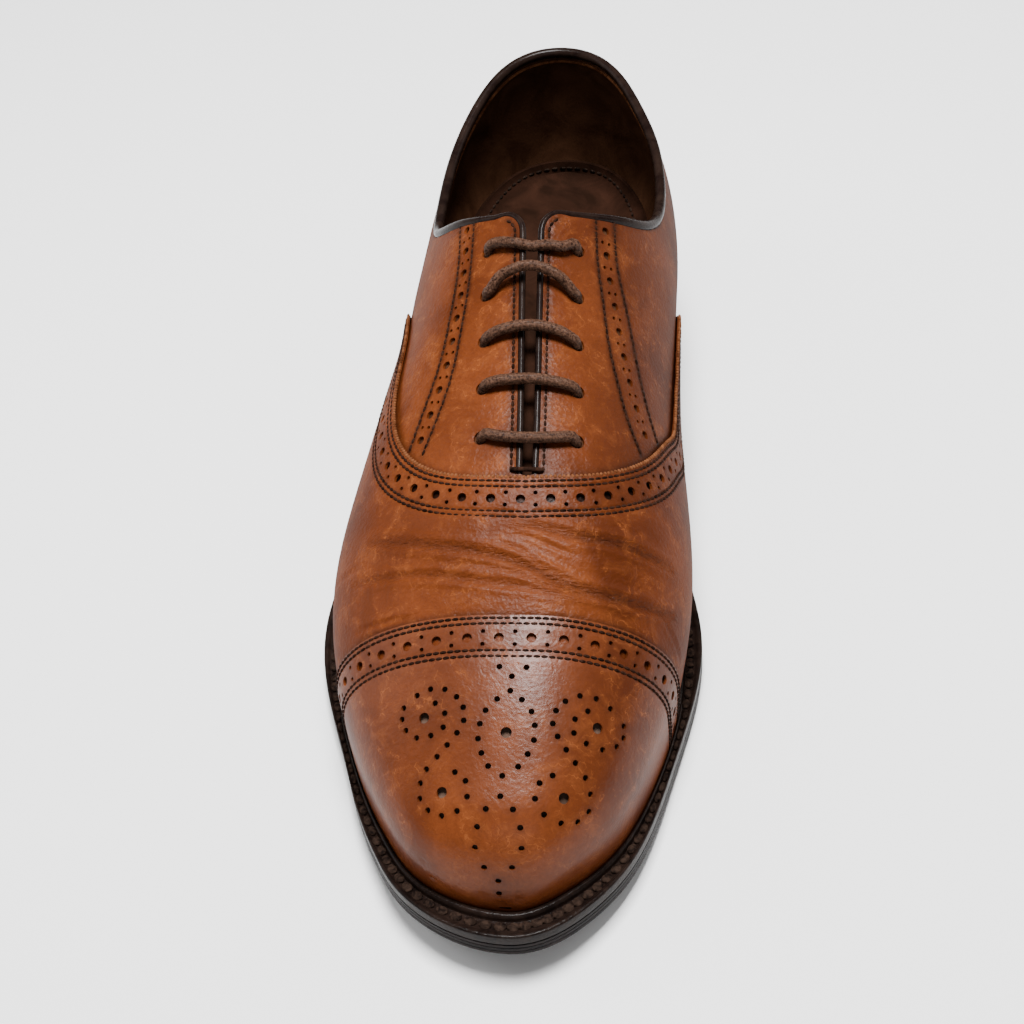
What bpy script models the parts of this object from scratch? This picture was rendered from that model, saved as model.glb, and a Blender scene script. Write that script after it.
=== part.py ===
"""Cap toe brogue shoe for the right foot, built from named pieces on one shared last surface."""
import math

import bmesh
import bpy
import numpy as np
from mathutils import Vector

# Sizes in metres, angles in degrees.
# x runs from the outer side of the foot (minus) to the inner side (plus), "along" runs from the
# back of the sole to the toe and z runs up from the floor.
MM = 0.001
SOLE_LENGTH = 0.305
UPPER_LENGTH = 0.2945
BALL_WIDTH = 0.092
INSTEP_HEIGHT = 0.108
HEEL_HEIGHT = 0.025
TOP_LIFT = 0.006
TOE_SPRING = 0.009
OUTSOLE = 0.005
WELT = 0.0032
INSOLE_TOP = 0.012
WALL = 0.002
PANEL = 0.0012
CAP = 0.002
CLEARANCE = 0.0003
PANEL_ROOM = 0.012
WELT_REACH = 0.0103
LACE = 0.0031
EYELET = 0.0046

# Sole line: the flat seat ends at the heel breast, the arch comes down to the flat under the
# ball, and ahead of the flat the toe springs up. Shares of the sole length.
BREAST = 0.25
FLAT_START = 0.61
FLAT_END = 0.702
SPRING_POWER = 1.8

# The last, one row for each station from the heel curve to the tip of the toe.
# along: share of the upper length. foot and wide: half widths at the sole and at the widest
# level, as shares of the ball width, for the outer and the inner side. level: height of the widest
# point as a share of the height of the section. ridge: height of the top line as a share of the
# instep height. lean: sideways place of the top line, share of the ball width. full: roundness
# of the section above the widest level. reach: how far the sole stands out, share of the reach.
STATIONS = (
    # along, foot_out, foot_in, wide_out, wide_in, level, ridge, lean, full_out, full_in, reach_out, reach_in
    (0.272, 0.342, 0.337, 0.440, 0.455, 0.27, 1.046, 0.000, 1.32, 1.68, 0.29, 0.29),
    (0.357, 0.353, 0.332, 0.446, 0.457, 0.31, 1.000, 0.011, 1.45, 1.70, 0.37, 0.31),
    (0.431, 0.397, 0.337, 0.457, 0.460, 0.34, 0.926, 0.022, 1.60, 1.70, 0.53, 0.41),
    (0.509, 0.457, 0.364, 0.493, 0.472, 0.36, 0.852, 0.033, 1.75, 1.75, 0.78, 0.60),
    (0.594, 0.516, 0.413, 0.538, 0.503, 0.36, 0.778, 0.046, 1.85, 1.85, 1.05, 0.88),
    (0.679, 0.543, 0.457, 0.558, 0.517, 0.37, 0.694, 0.054, 1.95, 1.95, 1.00, 0.95),
    (0.754, 0.533, 0.473, 0.534, 0.494, 0.38, 0.599, 0.050, 2.05, 2.05, 0.61, 0.60),
    (0.822, 0.468, 0.440, 0.470, 0.442, 0.39, 0.522, 0.046, 2.10, 2.10, 0.48, 0.47),
    (0.883, 0.386, 0.384, 0.386, 0.384, 0.39, 0.458, 0.046, 2.15, 2.15, 0.58, 0.56),
    (0.937, 0.288, 0.304, 0.288, 0.304, 0.41, 0.394, 0.048, 2.20, 2.20, 0.70, 0.72),
    (0.978, 0.168, 0.185, 0.168, 0.185, 0.45, 0.320, 0.050, 2.20, 2.20, 0.84, 0.92),
    (1.000, 0.000, 0.000, 0.000, 0.000, 0.50, 0.000, 0.051, 2.20, 2.20, 1.00, 1.00),
)
STATION_NAMES = ("along", "foot_out", "foot_in", "wide_out", "wide_in", "level", "ridge", "lean",
                 "full_out", "full_in", "reach_out", "reach_in")

# Heel curve: plan arcs from the back to the first station, one row for each angle.
HEEL_ARCS = (
    # angle, full_out, full_in
    (0.0, 3.0, 3.0),
    (22.5, 2.75, 2.75),
    (45.0, 2.05, 2.10),
    (67.5, 1.55, 1.85),
)
SEAT_BACK = 0.0102      # share of the upper length
COUNTER_BACK = 0.0027   # share of the upper length
SEAT_ROUNDNESS = 2.7
COUNTER_ROUNDNESS = 2.1
BAND_AROUND = 0.05
BAND_SHARE = 0.055
WIDEST_AROUND = 0.3

# Collar line on both sides at even steps: height of the edge as a share of the instep height.
COLLAR_START = -0.05
COLLAR_STEP = 0.05
COLLAR = (
    # height_out, height_in
    (0.786, 0.786),
    (0.783, 0.783),
    (0.762, 0.766),
    (0.724, 0.736),
    (0.685, 0.706),
    (0.656, 0.685),
    (0.640, 0.676),
    (0.662, 0.698),
    (0.776, 0.786),
    (0.925, 0.935),
    (1.060, 1.070),
)
HEEL_END = 0.272        # share of the upper length, here the collar leaves the heel curve
COLLAR_LOW = 0.370      # share of the upper length
FACING_TOP = 0.398      # share of the upper length
FACING_TURN = 0.424     # share of the upper length, here the corner runs out into the facing
FACING_ROUND = 0.007
THROAT = 0.672          # share of the upper length
FACING_GAP_TOP = 0.0037
FACING_GAP_LOW = 0.0031

# Edges of the raised panels at even levels from the seat to the top line: where the edge
# crosses the level, as a share of the upper length, for the outer and the inner side.
VAMP_EDGE = (
    # along_out, along_in
    (0.330, 0.328),
    (0.336, 0.334),
    (0.344, 0.341),
    (0.355, 0.357),
    (0.376, 0.500),
    (0.452, 0.560),
    (0.564, 0.607),
    (0.632, 0.642),
    (0.663, 0.663),
    (0.674, 0.673),
    (0.677, 0.677),
)
CAP_EDGE = (
    # along_out, along_in
    (0.788, 0.768),
    (0.791, 0.775),
    (0.793, 0.784),
    (0.795, 0.792),
    (0.797, 0.797),
)

# Lacing: five pairs of holes, each pair the same distance from the middle of the throat.
HOLE_ROWS = 5
HOLE_FIRST = 0.4295     # share of the upper length
HOLE_PITCH = 0.0151
HOLE_SIDE = 0.0132

# Tongue, cord, bead and welt sizes.
TONGUE_START = 0.51     # share of the upper length
TONGUE_BEND = 0.64      # share of the upper length, ahead of it the tongue rises to the lining
TONGUE_END = 0.70       # share of the upper length
TONGUE_SIDE = 0.80
TONGUE_THICK = 0.0025
TONGUE_DEEP = 0.0061
BEAD_COLLAR = 0.0027
BEAD_FACING = 0.0020
PIPING_SLIM = 0.36      # share of the upper length, ahead of it the piping thins to the facings
LACE_ROOM = 0.05 * MM
LACE_ARCH = 0.5 * MM
LACE_DIP = 0.5 * MM
LACE_RISE = 0.8 * MM
SOLE_ROUND = 1.0 * MM
SOLE_BREAK = 0.4 * MM
INSOLE_WALL = 3.5 * MM
INSOLE_INSET = 0.3 * MM
INSOLE_BEVEL = 2.0 * MM
SEAT_INSET = 0.2 * MM
LIFT_FOOT = 0.6 * MM
WELT_STEP = 2.0 * MM
WELT_BEAD = 0.0018
HEEL_TAPER = 0.0015

# Welt section from its inner to its outer edge.
WELT_SECTION = (
    # across, share of the width; rise, in welt beads above the stitch channel
    (0.00, 0.90),
    (0.14, 1.00),
    (0.28, 0.60),
    (0.36, 0.00),
    (0.74, 0.00),
    (0.82, 0.22),
    (1.00, 0.10),
)


def curve_through(rows):
    """Second derivatives of the natural cubic through evenly spaced rows."""
    count = len(rows)
    matrix = np.eye(count)
    right = np.zeros_like(rows)
    for k in range(1, count - 1):
        matrix[k, k - 1:k + 2] = (1.0, 4.0, 1.0)
        right[k] = 6.0 * (rows[k - 1] - 2.0 * rows[k] + rows[k + 1])
    return np.linalg.solve(matrix, right)


def curve_value(rows, bends, place):
    k = np.clip(np.floor(place).astype(int), 0, len(rows) - 2)
    b = (place - k)[..., None]
    a = 1.0 - b
    return a * rows[k] + b * rows[k + 1] + ((a ** 3 - a) * bends[k] + (b ** 3 - b) * bends[k + 1]) / 6.0


def smooth_step(t):
    t = np.clip(t, 0.0, 1.0)
    return t * t * (3.0 - 2.0 * t)


def sole_line(along):
    """Height of the underside of the outsole."""
    along = np.asarray(along, float)
    arch = smooth_step((along / SOLE_LENGTH - BREAST) / (FLAT_START - BREAST))
    spring = np.clip((along / SOLE_LENGTH - FLAT_END) / (1.0 - FLAT_END), 0.0, 2.0)
    return HEEL_HEIGHT * (1.0 - arch) + TOE_SPRING * spring ** SPRING_POWER


# Columns of the working table: along at the sole, at the widest level and at the top, half width
# at the sole and at the widest level, sideways place of the top line, height of the base, height
# of the section, level, roundness, reach of the sole.
BASE, WIDE, TOP, FOOT, BROAD, LEAN, FLOOR, RISE, LEVEL, FULL, REACH = range(11)
MIRRORED = [FOOT, BROAD]
MIRROR = 6


def station_table(side):
    rows = []
    tag = "_out" if side < 0 else "_in"
    for numbers in STATIONS:
        row = dict(zip(STATION_NAMES, numbers))
        along = row["along"] * UPPER_LENGTH
        floor = float(max(sole_line(along), sole_line(along + 1.5 * CAP))) + OUTSOLE + CLEARANCE
        lean = row["lean"] * BALL_WIDTH
        foot = row["foot" + tag] * BALL_WIDTH
        broad = row["wide" + tag] * BALL_WIDTH
        shift = side * lean if foot else 0.0
        rise = row["ridge"] * INSTEP_HEIGHT - floor if row["ridge"] else 0.0
        rows.append([along, along, along, foot - shift, broad - shift, lean, floor, rise,
                     row["level"], row["full" + tag], row["reach" + tag] * WELT_REACH])
    first = rows[0]
    heel = []
    for angle, full_out, full_in in HEEL_ARCS:
        turn = math.radians(angle)
        row = list(first)
        seat = math.cos(turn) ** (2.0 / SEAT_ROUNDNESS)
        counter = math.cos(turn) ** (2.0 / COUNTER_ROUNDNESS)
        row[BASE] = first[BASE] + (SEAT_BACK * UPPER_LENGTH - first[BASE]) * seat
        row[WIDE] = first[WIDE] + (COUNTER_BACK * UPPER_LENGTH - first[WIDE]) * counter
        row[FOOT] = first[FOOT] * math.sin(turn) ** (2.0 / SEAT_ROUNDNESS)
        row[BROAD] = first[BROAD] * math.sin(turn) ** (2.0 / COUNTER_ROUNDNESS)
        row[FULL] = full_out if side < 0 else full_in
        heel.append(row)
    return np.array(heel + rows)


def mirrored_ends(rows):
    """Rows past the back and past the toe, so that both ends close smoothly."""
    back = rows[1:MIRROR + 1][::-1].copy()
    back[:, MIRRORED] *= -1.0
    front = rows[-MIRROR - 1:-1][::-1].copy()
    front[:, MIRRORED + [RISE]] *= -1.0
    return np.concatenate([back, rows, front])


TABLES = {side: mirrored_ends(station_table(side)) for side in (-1, 1)}
BENDS = {side: curve_through(TABLES[side]) for side in (-1, 1)}
FIRST = float(len(HEEL_ARCS))
TIP = float(len(HEEL_ARCS) + len(STATIONS) - 1)


def row_at(side, u):
    return curve_value(TABLES[side], BENDS[side], np.asarray(u, float) + MIRROR)


def last_point(side, u, v):
    """Point of the last: u counts stations from the back, v runs from the sole to the top line."""
    u, v = np.broadcast_arrays(np.asarray(u, float), np.asarray(v, float))
    row = row_at(side, u)
    column = [row[..., k] for k in range(11)]
    flare = np.clip((v - BAND_AROUND) / (WIDEST_AROUND - BAND_AROUND), 0.0, 1.0)
    low = np.sin(flare * math.pi / 2.0)
    turn = np.clip((v - WIDEST_AROUND) / (1.0 - WIDEST_AROUND), 0.0, 1.0) * math.pi / 2.0
    power = 2.0 / column[FULL]
    out = np.maximum(np.cos(turn), 0.0) ** power
    up = np.sin(turn) ** power
    below = v < WIDEST_AROUND
    half = np.where(below, column[FOOT] + (column[BROAD] - column[FOOT]) * low, column[BROAD] * out)
    along = np.where(below, column[BASE] + (column[WIDE] - column[BASE]) * low,
                     column[TOP] + (column[WIDE] - column[TOP]) * out)
    band = np.clip(v / BAND_AROUND, 0.0, 1.0) * BAND_SHARE
    share = np.where(below, band + (column[LEVEL] - BAND_SHARE) * flare,
                     column[LEVEL] + (1.0 - column[LEVEL]) * up)
    return np.stack([column[LEAN] + side * half, along, column[FLOOR] + column[RISE] * share], -1)


def last_normal(side, u, v):
    """Outward direction of the last; on the top line both sides share one direction."""
    u, v = np.broadcast_arrays(np.asarray(u, float), np.asarray(v, float))
    near = 0.004
    across = np.clip(v, near, 1.0 - near)
    forward = np.minimum(u, TIP - 0.05)
    du = last_point(side, forward + near, v) - last_point(side, forward - near, v)
    dv = last_point(side, forward, across + near) - last_point(side, forward, across - near)
    top = (v > 1.0 - 1e-6)[..., None]
    dv = np.where(top, np.array([-side * 1.0, 0.0, 0.0]), dv)
    normal = np.cross(du, dv) * side
    return normal / np.maximum(np.linalg.norm(normal, axis=-1, keepdims=True), 1e-12)


def skin(side, u, v, lift=0.0):
    return last_point(side, u, v) + last_normal(side, u, v) * np.asarray(lift)[..., None]


def station_of(along):
    """Station number of a place along the sole, ahead of the heel curve."""
    steps = np.linspace(FIRST, TIP, 1201)
    return np.interp(along, row_at(1, steps)[:, BASE], steps)


def lean_of(side, u):
    return row_at(side, u)[..., LEAN]


def half_gap(along):
    """Half width of the throat between the facings, rounded out at the top corner."""
    start = FACING_TOP * UPPER_LENGTH
    end = THROAT * UPPER_LENGTH
    share = np.clip((along - start) / (end - start), 0.0, 1.0)
    plain = FACING_GAP_TOP + (FACING_GAP_LOW - FACING_GAP_TOP) * share
    into = np.clip(FACING_ROUND - (along - start), 0.0, FACING_ROUND)
    corner = FACING_ROUND - np.sqrt(FACING_ROUND ** 2 - into ** 2)
    return np.where(along < start, 0.0, plain + corner)


def collar_height(side, along):
    heights = np.array(COLLAR)[:, [0 if side < 0 else 1]]
    step = (along / UPPER_LENGTH - COLLAR_START) / COLLAR_STEP
    plain = curve_value(heights, curve_through(heights), np.clip(step, 0.0, len(heights) - 1.0))
    return plain[..., 0] * INSTEP_HEIGHT


def solve_around(side, u, inside):
    """Highest level of each column at which the test still holds."""
    u = np.asarray(u, float)
    low = np.full(u.shape, WIDEST_AROUND)
    high = np.ones(u.shape)
    for _ in range(34):
        middle = (low + high) / 2.0
        keep = inside(last_point(side, u, middle), middle)
        low = np.where(keep, middle, low)
        high = np.where(keep, high, middle)
    return low


def rim_around(side, u):
    """Level of the collar and of the facing edge in each column."""
    def inside(point, _):
        below = point[..., 2] < collar_height(side, point[..., 1])
        ahead = point[..., 1] > FACING_TOP * UPPER_LENGTH
        apart = np.abs(point[..., 0] - lean_of(side, u)) > half_gap(point[..., 1])
        return np.where(ahead, apart, below)
    closed = row_at(side, u)[..., TOP] > THROAT * UPPER_LENGTH + 0.5 * MM
    return np.where(closed & (np.asarray(u) > FIRST), 1.0, solve_around(side, u, inside))


def across_around(side, u, across):
    """Level at which a column stands a given distance from the middle of the throat."""
    def inside(point, _):
        return np.abs(point[..., 0] - lean_of(side, u)) > across
    return np.where(np.asarray(across) < 1e-6, 1.0, solve_around(side, u, inside))


def facing_point(across, along, lift):
    side = -1 if across < 0 else 1
    u = station_of(along)
    return skin(side, u, across_around(side, u, abs(across)), lift)


def edge_station(table, side, v):
    rows = np.array(table)[:, [0 if side < 0 else 1]]
    along = curve_value(rows, curve_through(rows), np.asarray(v) * (len(rows) - 1))[..., 0]
    return station_of(along * UPPER_LENGTH)


# Plan outline of the seat, offset outwards by a given amount.
def outline(side, u, offset):
    step = 0.002
    base = last_point(side, u, 0.0)
    ahead = last_point(side, np.asarray(u) + step, 0.0) - last_point(side, np.asarray(u) - step, 0.0)
    direction = np.stack([ahead[..., 1] * side, -ahead[..., 0] * side, np.zeros(ahead.shape[:-1])], -1)
    direction /= np.linalg.norm(direction, axis=-1, keepdims=True)
    return base + direction * np.asarray(offset)[..., None]


def sole_reach(side, u):
    return row_at(side, u)[..., REACH]


OUTLINE_U = np.concatenate([
    np.linspace(0.0, FIRST, 13)[:-1],
    np.linspace(FIRST, TIP - 2.0, 17)[:-1],
    np.linspace(TIP - 2.0, TIP, 9),
])
EDGE = np.concatenate([outline(side, OUTLINE_U, sole_reach(side, OUTLINE_U)) for side in (-1, 1)])
MIDDLE_X = (EDGE[:, 0].min() + EDGE[:, 0].max()) / 2.0
MIDDLE_ALONG = (EDGE[:, 1].min() + EDGE[:, 1].max()) / 2.0


def place(points):
    """Shoe sizes to the shared frame: toe towards -Y, middle of the sole over the origin."""
    points = np.asarray(points, float)
    return np.stack([points[..., 0] - MIDDLE_X, MIDDLE_ALONG - points[..., 1], points[..., 2]], -1)


def new_object(name, mesh, material, collection):
    obj = bpy.data.objects.new(name, mesh)
    collection.objects.link(obj)
    if material:
        obj.data.materials.append(material)
    return obj


def material(name, colour, roughness):
    made = bpy.data.materials.new(name)
    made.use_nodes = True
    shader = made.node_tree.nodes["Principled BSDF"]
    shader.inputs["Base Color"].default_value = (*colour, 1.0)
    shader.inputs["Roughness"].default_value = roughness
    made.diffuse_color = (*colour, 1.0)
    return made


def mesh_from(name, build):
    work = bmesh.new()
    build(work)
    bmesh.ops.remove_doubles(work, verts=work.verts, dist=0.00002)
    bmesh.ops.dissolve_degenerate(work, edges=work.edges, dist=0.00002)
    mesh = bpy.data.meshes.new(name)
    work.to_mesh(mesh)
    work.free()
    return mesh


def add_grid(work, points, flip):
    """Faces of one patch; rows run towards the toe, columns run up the wall."""
    dots = [[work.verts.new(spot) for spot in row] for row in place(points)]
    for row, after in zip(dots[:-1], dots[1:]):
        for k in range(len(row) - 1):
            ring = [row[k], row[k + 1], after[k + 1], after[k]]
            work.faces.new(ring[::-1] if flip else ring)


def thicken(obj, thickness):
    wall = obj.modifiers.new("Wall", "SOLIDIFY")
    wall.thickness = thickness
    wall.offset = -1.0
    wall.use_even_offset = True
    wall.use_quality_normals = True
    facets = obj.modifiers.new("Facets", "TRIANGULATE")
    facets.quad_method = "BEAUTY"


LEVELS_LOW = np.array([0.0, BAND_AROUND, 0.13, 0.21])
LEVELS_HIGH = np.linspace(0.0, 1.0, 9)
FACING_LEVEL = 0.93


def wall_levels(top):
    """Levels of one or many columns, from the seat to the given top."""
    top = np.asarray(top, float)[..., None]
    low = np.broadcast_to(LEVELS_LOW, top.shape[:-1] + LEVELS_LOW.shape)
    even = WIDEST_AROUND + (top - WIDEST_AROUND) * LEVELS_HIGH
    fixed = np.minimum(WIDEST_AROUND + (1.0 - WIDEST_AROUND) * LEVELS_HIGH, top)
    return np.concatenate([low, np.where(top > FACING_LEVEL, fixed, even)], -1)


def upper_columns():
    """Stations of the upper: closer at the facing corner, at the throat and round the toe."""
    share = UPPER_LENGTH
    spans = ((HEEL_END, COLLAR_LOW, 4), (COLLAR_LOW, FACING_TOP, 2), (FACING_TOP, FACING_TURN, 5),
             (FACING_TURN, THROAT, 8))
    ahead = [np.linspace(a, b, count + 1)[:-1] * share for a, b, count in spans]
    front = np.linspace(THROAT + 0.0035, 0.937, 9) * share
    middle = station_of(np.concatenate(ahead + [[THROAT * share], front]))
    heel = np.linspace(0.0, FIRST, 9)[:-1]
    return np.concatenate([heel, middle, np.linspace(TIP - 2.0, TIP, 8)[1:]])


def build_upper(collection, cutters, tint):
    columns = upper_columns()

    def patches(work):
        for side in (-1, 1):
            levels = wall_levels(rim_around(side, columns))
            add_grid(work, skin(side, columns[:, None], levels), side < 0)
    upper = new_object("upper", mesh_from("upper", patches), tint, collection)
    thicken(upper, WALL)

    def punches(work):
        for across, along in hole_places():
            middle = Vector(place(facing_point(across, along, -WALL / 2.0)))
            axis = Vector(place(facing_point(across, along, 1.0 * MM))) - middle
            turn = axis.to_track_quat("Z", "Y").to_matrix().to_4x4()
            turn.translation = middle
            bmesh.ops.create_cone(work, cap_ends=True, segments=12, radius1=EYELET / 2.0,
                                  radius2=EYELET / 2.0, depth=4.0 * WALL, matrix=turn)
    punch = new_object("lace_hole_punch", mesh_from("lace_hole_punch", punches), None, cutters)
    punch.hide_render = True
    punch.display_type = "WIRE"
    cut = upper.modifiers.new("Lace holes", "BOOLEAN")
    cut.operation = "DIFFERENCE"
    cut.solver = "EXACT"
    cut.object = punch
    return upper


def hole_places():
    first = HOLE_FIRST * UPPER_LENGTH
    return [(across, first + HOLE_PITCH * row) for row in range(HOLE_ROWS) for across in (-HOLE_SIDE, HOLE_SIDE)]


def build_vamp(collection, tint):
    levels = wall_levels(1.0)
    steps = np.linspace(0.0, 1.0, 13)[:, None]

    def patches(work):
        for side in (-1, 1):
            back = edge_station(VAMP_EDGE, side, levels)[None]
            front = edge_station(CAP_EDGE, side, levels)[None] - PANEL_ROOM
            add_grid(work, skin(side, back + (front - back) * steps, levels[None] + 0.0 * steps,
                                CLEARANCE + PANEL), side < 0)
    vamp = new_object("vamp_panel", mesh_from("vamp_panel", patches), tint, collection)
    thicken(vamp, PANEL)
    return vamp


def build_cap(collection, tint):
    levels = wall_levels(1.0)
    steps = (1.0 - (1.0 - np.linspace(0.0, 1.0, 13)) ** 1.15)[:, None]

    def patches(work):
        for side in (-1, 1):
            back = edge_station(CAP_EDGE, side, levels)[None] + PANEL_ROOM
            add_grid(work, skin(side, back + (TIP - back) * steps, levels[None] + 0.0 * steps,
                                CLEARANCE + CAP), side < 0)
    cap = new_object("toe_cap", mesh_from("toe_cap", patches), tint, collection)
    thicken(cap, CAP)
    return cap


def build_tongue(collection, tint):
    along = np.linspace(TONGUE_START, TONGUE_END, 10) * UPPER_LENGTH
    rise = smooth_step((along / UPPER_LENGTH - TONGUE_BEND) / (TONGUE_END - TONGUE_BEND))
    lift = -(TONGUE_DEEP + (WALL + 2.0 * CLEARANCE - TONGUE_DEEP) * rise)
    levels = np.linspace(TONGUE_SIDE, 1.0, 5)

    def patches(work):
        for side in (-1, 1):
            add_grid(work, skin(side, station_of(along)[:, None], levels[None], lift[:, None]), side < 0)
    tongue = new_object("tongue", mesh_from("tongue", patches), tint, collection)
    thicken(tongue, TONGUE_THICK)
    return tongue


def tube(name, points, radii, sides, tint, collection):
    """A round cord along a path, closed at both ends."""
    data = bpy.data.curves.new(name + "_path", "CURVE")
    data.dimensions = "3D"
    line = data.splines.new("POLY")
    line.points.add(len(points) - 1)
    for dot, spot, radius in zip(line.points, place(points), radii):
        dot.co = (*spot, 1.0)
        dot.radius = radius / radii[0]
    data.bevel_depth = radii[0]
    data.bevel_resolution = (sides - 4) // 2
    data.use_fill_caps = True
    path = bpy.data.objects.new(name + "_path", data)
    collection.objects.link(path)
    mesh = bpy.data.meshes.new_from_object(path)
    mesh.name = name
    bpy.data.objects.remove(path)
    bpy.data.curves.remove(data)
    work = bmesh.new()
    work.from_mesh(mesh)
    bmesh.ops.remove_doubles(work, verts=work.verts, dist=0.00002)
    bmesh.ops.recalc_face_normals(work, faces=work.faces)
    work.to_mesh(mesh)
    work.free()
    mesh.materials.clear()
    return new_object(name, mesh, tint, collection)


def build_piping(collection, tint):
    facing = station_of(np.concatenate([
        np.linspace(THROAT, FACING_TURN, 9),
        np.linspace(FACING_TURN, FACING_TOP, 6)[1:],
        np.linspace(FACING_TOP, HEEL_END, 10)[1:],
    ]) * UPPER_LENGTH)
    columns = np.concatenate([facing, np.linspace(FIRST, 0.0, 11)[1:]])
    half = []
    for side in (-1, 1):
        top = rim_around(side, columns)
        middle = skin(side, columns, top, -WALL / 2.0)
        out = last_normal(side, columns, top)
        way = np.gradient(middle, axis=0)
        way[-1] = (-side, 0.0, 0.0)
        away = np.cross(way, out)
        away /= np.linalg.norm(away, axis=1, keepdims=True)
        away *= np.sign(last_point(side, columns, top) - last_point(side, columns, top - 0.02))[:, 2:3] \
            * np.sign(away[:, 2:3])
        slim = smooth_step((columns - station_of(PIPING_SLIM * UPPER_LENGTH)) / 0.6)
        radius = (BEAD_COLLAR + (BEAD_FACING - BEAD_COLLAR) * slim) / 2.0
        half.append((middle + away * (radius + CLEARANCE + 0.1 * MM)[:, None], radius))
    points = np.concatenate([half[0][0], half[1][0][::-1][1:]])
    radii = np.concatenate([half[0][1], half[1][1][::-1][1:]])
    return tube("collar_piping", points, radii, 6, tint, collection)


def lace_path():
    """One cord: a bar over each pair of holes, joined by short runs under the facings."""
    bend = LACE / 2.0 + CLEARANCE + LACE_ROOM
    rim = EYELET / 2.0
    slope = math.sqrt(0.5) * bend
    high = bend + LACE_ARCH
    first = HOLE_FIRST * UPPER_LENGTH
    path = []
    side = -1
    for row in reversed(range(HOLE_ROWS)):
        along = first + HOLE_PITCH * row
        dip = LACE_DIP if row == 0 else 0.0
        rise = LACE_RISE if row == 1 else 0.0
        under = [
            (0.0, rim, -WALL - bend),
            (0.0, rim - slope, -WALL - slope),
            (0.0, rim - bend, -WALL * 0.75),
        ]
        path += [(side * (HOLE_SIDE + a), along + b, c) for a, b, c in under]
        over = [(-(rim - bend), 0.0, -WALL * 0.1), (-(rim - slope), 0.0, slope), (-rim, 0.0, bend)]
        path += [(side * (HOLE_SIDE + a), along + b, c) for a, b, c in over]
        reach = HOLE_SIDE - rim
        for share in (0.72, 0.45, 0.2, 0.0, -0.2, -0.45, -0.72):
            swell = rise * math.cos(share * math.pi / 2.0) - dip * max(0.0, 1.0 - 3.0 * abs(share))
            path.append((side * reach * share, along, high + swell))
        side = -side
        path += [(side * (HOLE_SIDE + a), along + b, c) for a, b, c in reversed(over)]
        path += [(side * (HOLE_SIDE + a), along - b, c) for a, b, c in reversed(under)]
    return path


def build_laces(collection, tint):
    spots = np.array([facing_point(*step) for step in lace_path()])
    return tube("laces", spots, np.full(len(spots), LACE / 2.0), 6, tint, collection)


def slab(name, columns, rings, tint, collection, end_along=None):
    """A flat piece under the foot: outline rings at heights above the sole line, capped across."""
    def build(work):
        loops = []
        for offsets, height in rings:
            sides = []
            for side, offset in zip((-1, 1), offsets):
                edge = outline(side, columns, offset)
                if end_along is not None:
                    edge[-1, 1] = end_along
                level = height if np.ndim(height) else np.full(len(edge), height)
                edge[:, 2] = (0.0 if end_along is not None else sole_line(edge[:, 1])) + level
                sides.append([work.verts.new(spot) for spot in place(edge)])
            loops.append(sides)
        count = len(columns)
        for (low_out, low_in), (high_out, high_in) in zip(loops[:-1], loops[1:]):
            for k in range(count - 1):
                work.faces.new([low_out[k], low_out[k + 1], high_out[k + 1], high_out[k]])
                work.faces.new([high_in[k], high_in[k + 1], low_in[k + 1], low_in[k]])
            if end_along is not None:
                work.faces.new([low_out[-1], low_in[-1], high_in[-1], high_out[-1]])
        for flip, (row_out, row_in) in ((True, loops[0]), (False, loops[-1])):
            for k in range(count - 1):
                ring = [row_out[k], row_out[k + 1], row_in[k + 1], row_in[k]]
                work.faces.new(ring[::-1] if flip else ring)
    mesh = mesh_from(name, build)
    work = bmesh.new()
    work.from_mesh(mesh)
    bmesh.ops.recalc_face_normals(work, faces=work.faces)
    work.to_mesh(mesh)
    work.free()
    return new_object(name, mesh, tint, collection)


def both(columns, extra):
    return [sole_reach(side, columns) + extra for side in (-1, 1)]


def build_sole(collection, tints):
    base = OUTSOLE
    slab("outsole", OUTLINE_U, [
        (both(OUTLINE_U, -SOLE_ROUND), 0.0),
        (both(OUTLINE_U, 0.0), SOLE_ROUND),
        (both(OUTLINE_U, 0.0), base - SOLE_BREAK),
        (both(OUTLINE_U, -SOLE_BREAK), base),
    ], tints["outsole"], collection)
    inside = -(WALL + 2.0 * CLEARANCE)
    slab("insole", OUTLINE_U, [
        ((inside - INSOLE_INSET,) * 2, base + CLEARANCE),
        ((inside - INSOLE_INSET,) * 2, base + INSOLE_WALL),
        ((inside - INSOLE_BEVEL,) * 2, INSOLE_TOP),
    ], tints["insole"], collection)
    breast = BREAST * SOLE_LENGTH
    heel = np.linspace(0.0, FIRST - 0.25, 13)
    seat = HEEL_HEIGHT - CLEARANCE
    join = TOP_LIFT + CLEARANCE
    slab("heel_stack", heel, [
        (both(heel, -HEEL_TAPER * 0.75), join),
        (both(heel, -SEAT_INSET), seat),
    ], tints["heel_stack"], collection, breast)
    slab("top_lift", heel, [
        (both(heel, -HEEL_TAPER - SOLE_BREAK), 0.0),
        (both(heel, -HEEL_TAPER), LIFT_FOOT),
        (both(heel, -HEEL_TAPER * 0.78), TOP_LIFT),
    ], tints["top_lift"], collection, breast)


def welt_inner(side, along):
    """Room between the seat line and the welt: it steps out round the vamp panel and the cap."""
    column = 0 if side < 0 else 1
    vamp = VAMP_EDGE[0][column] * UPPER_LENGTH
    cap = CAP_EDGE[0][column] * UPPER_LENGTH
    step = WELT_STEP
    plain = 2.0 * CLEARANCE
    stops = (0.0, vamp - 2.0 * step, vamp - step, cap - 2.0 * step, cap - step, SOLE_LENGTH)
    rooms = (plain, plain, plain + PANEL + CLEARANCE, plain + PANEL + CLEARANCE,
             plain + CAP + CLEARANCE, plain + CAP + CLEARANCE)
    return np.interp(along, stops, rooms)


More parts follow.
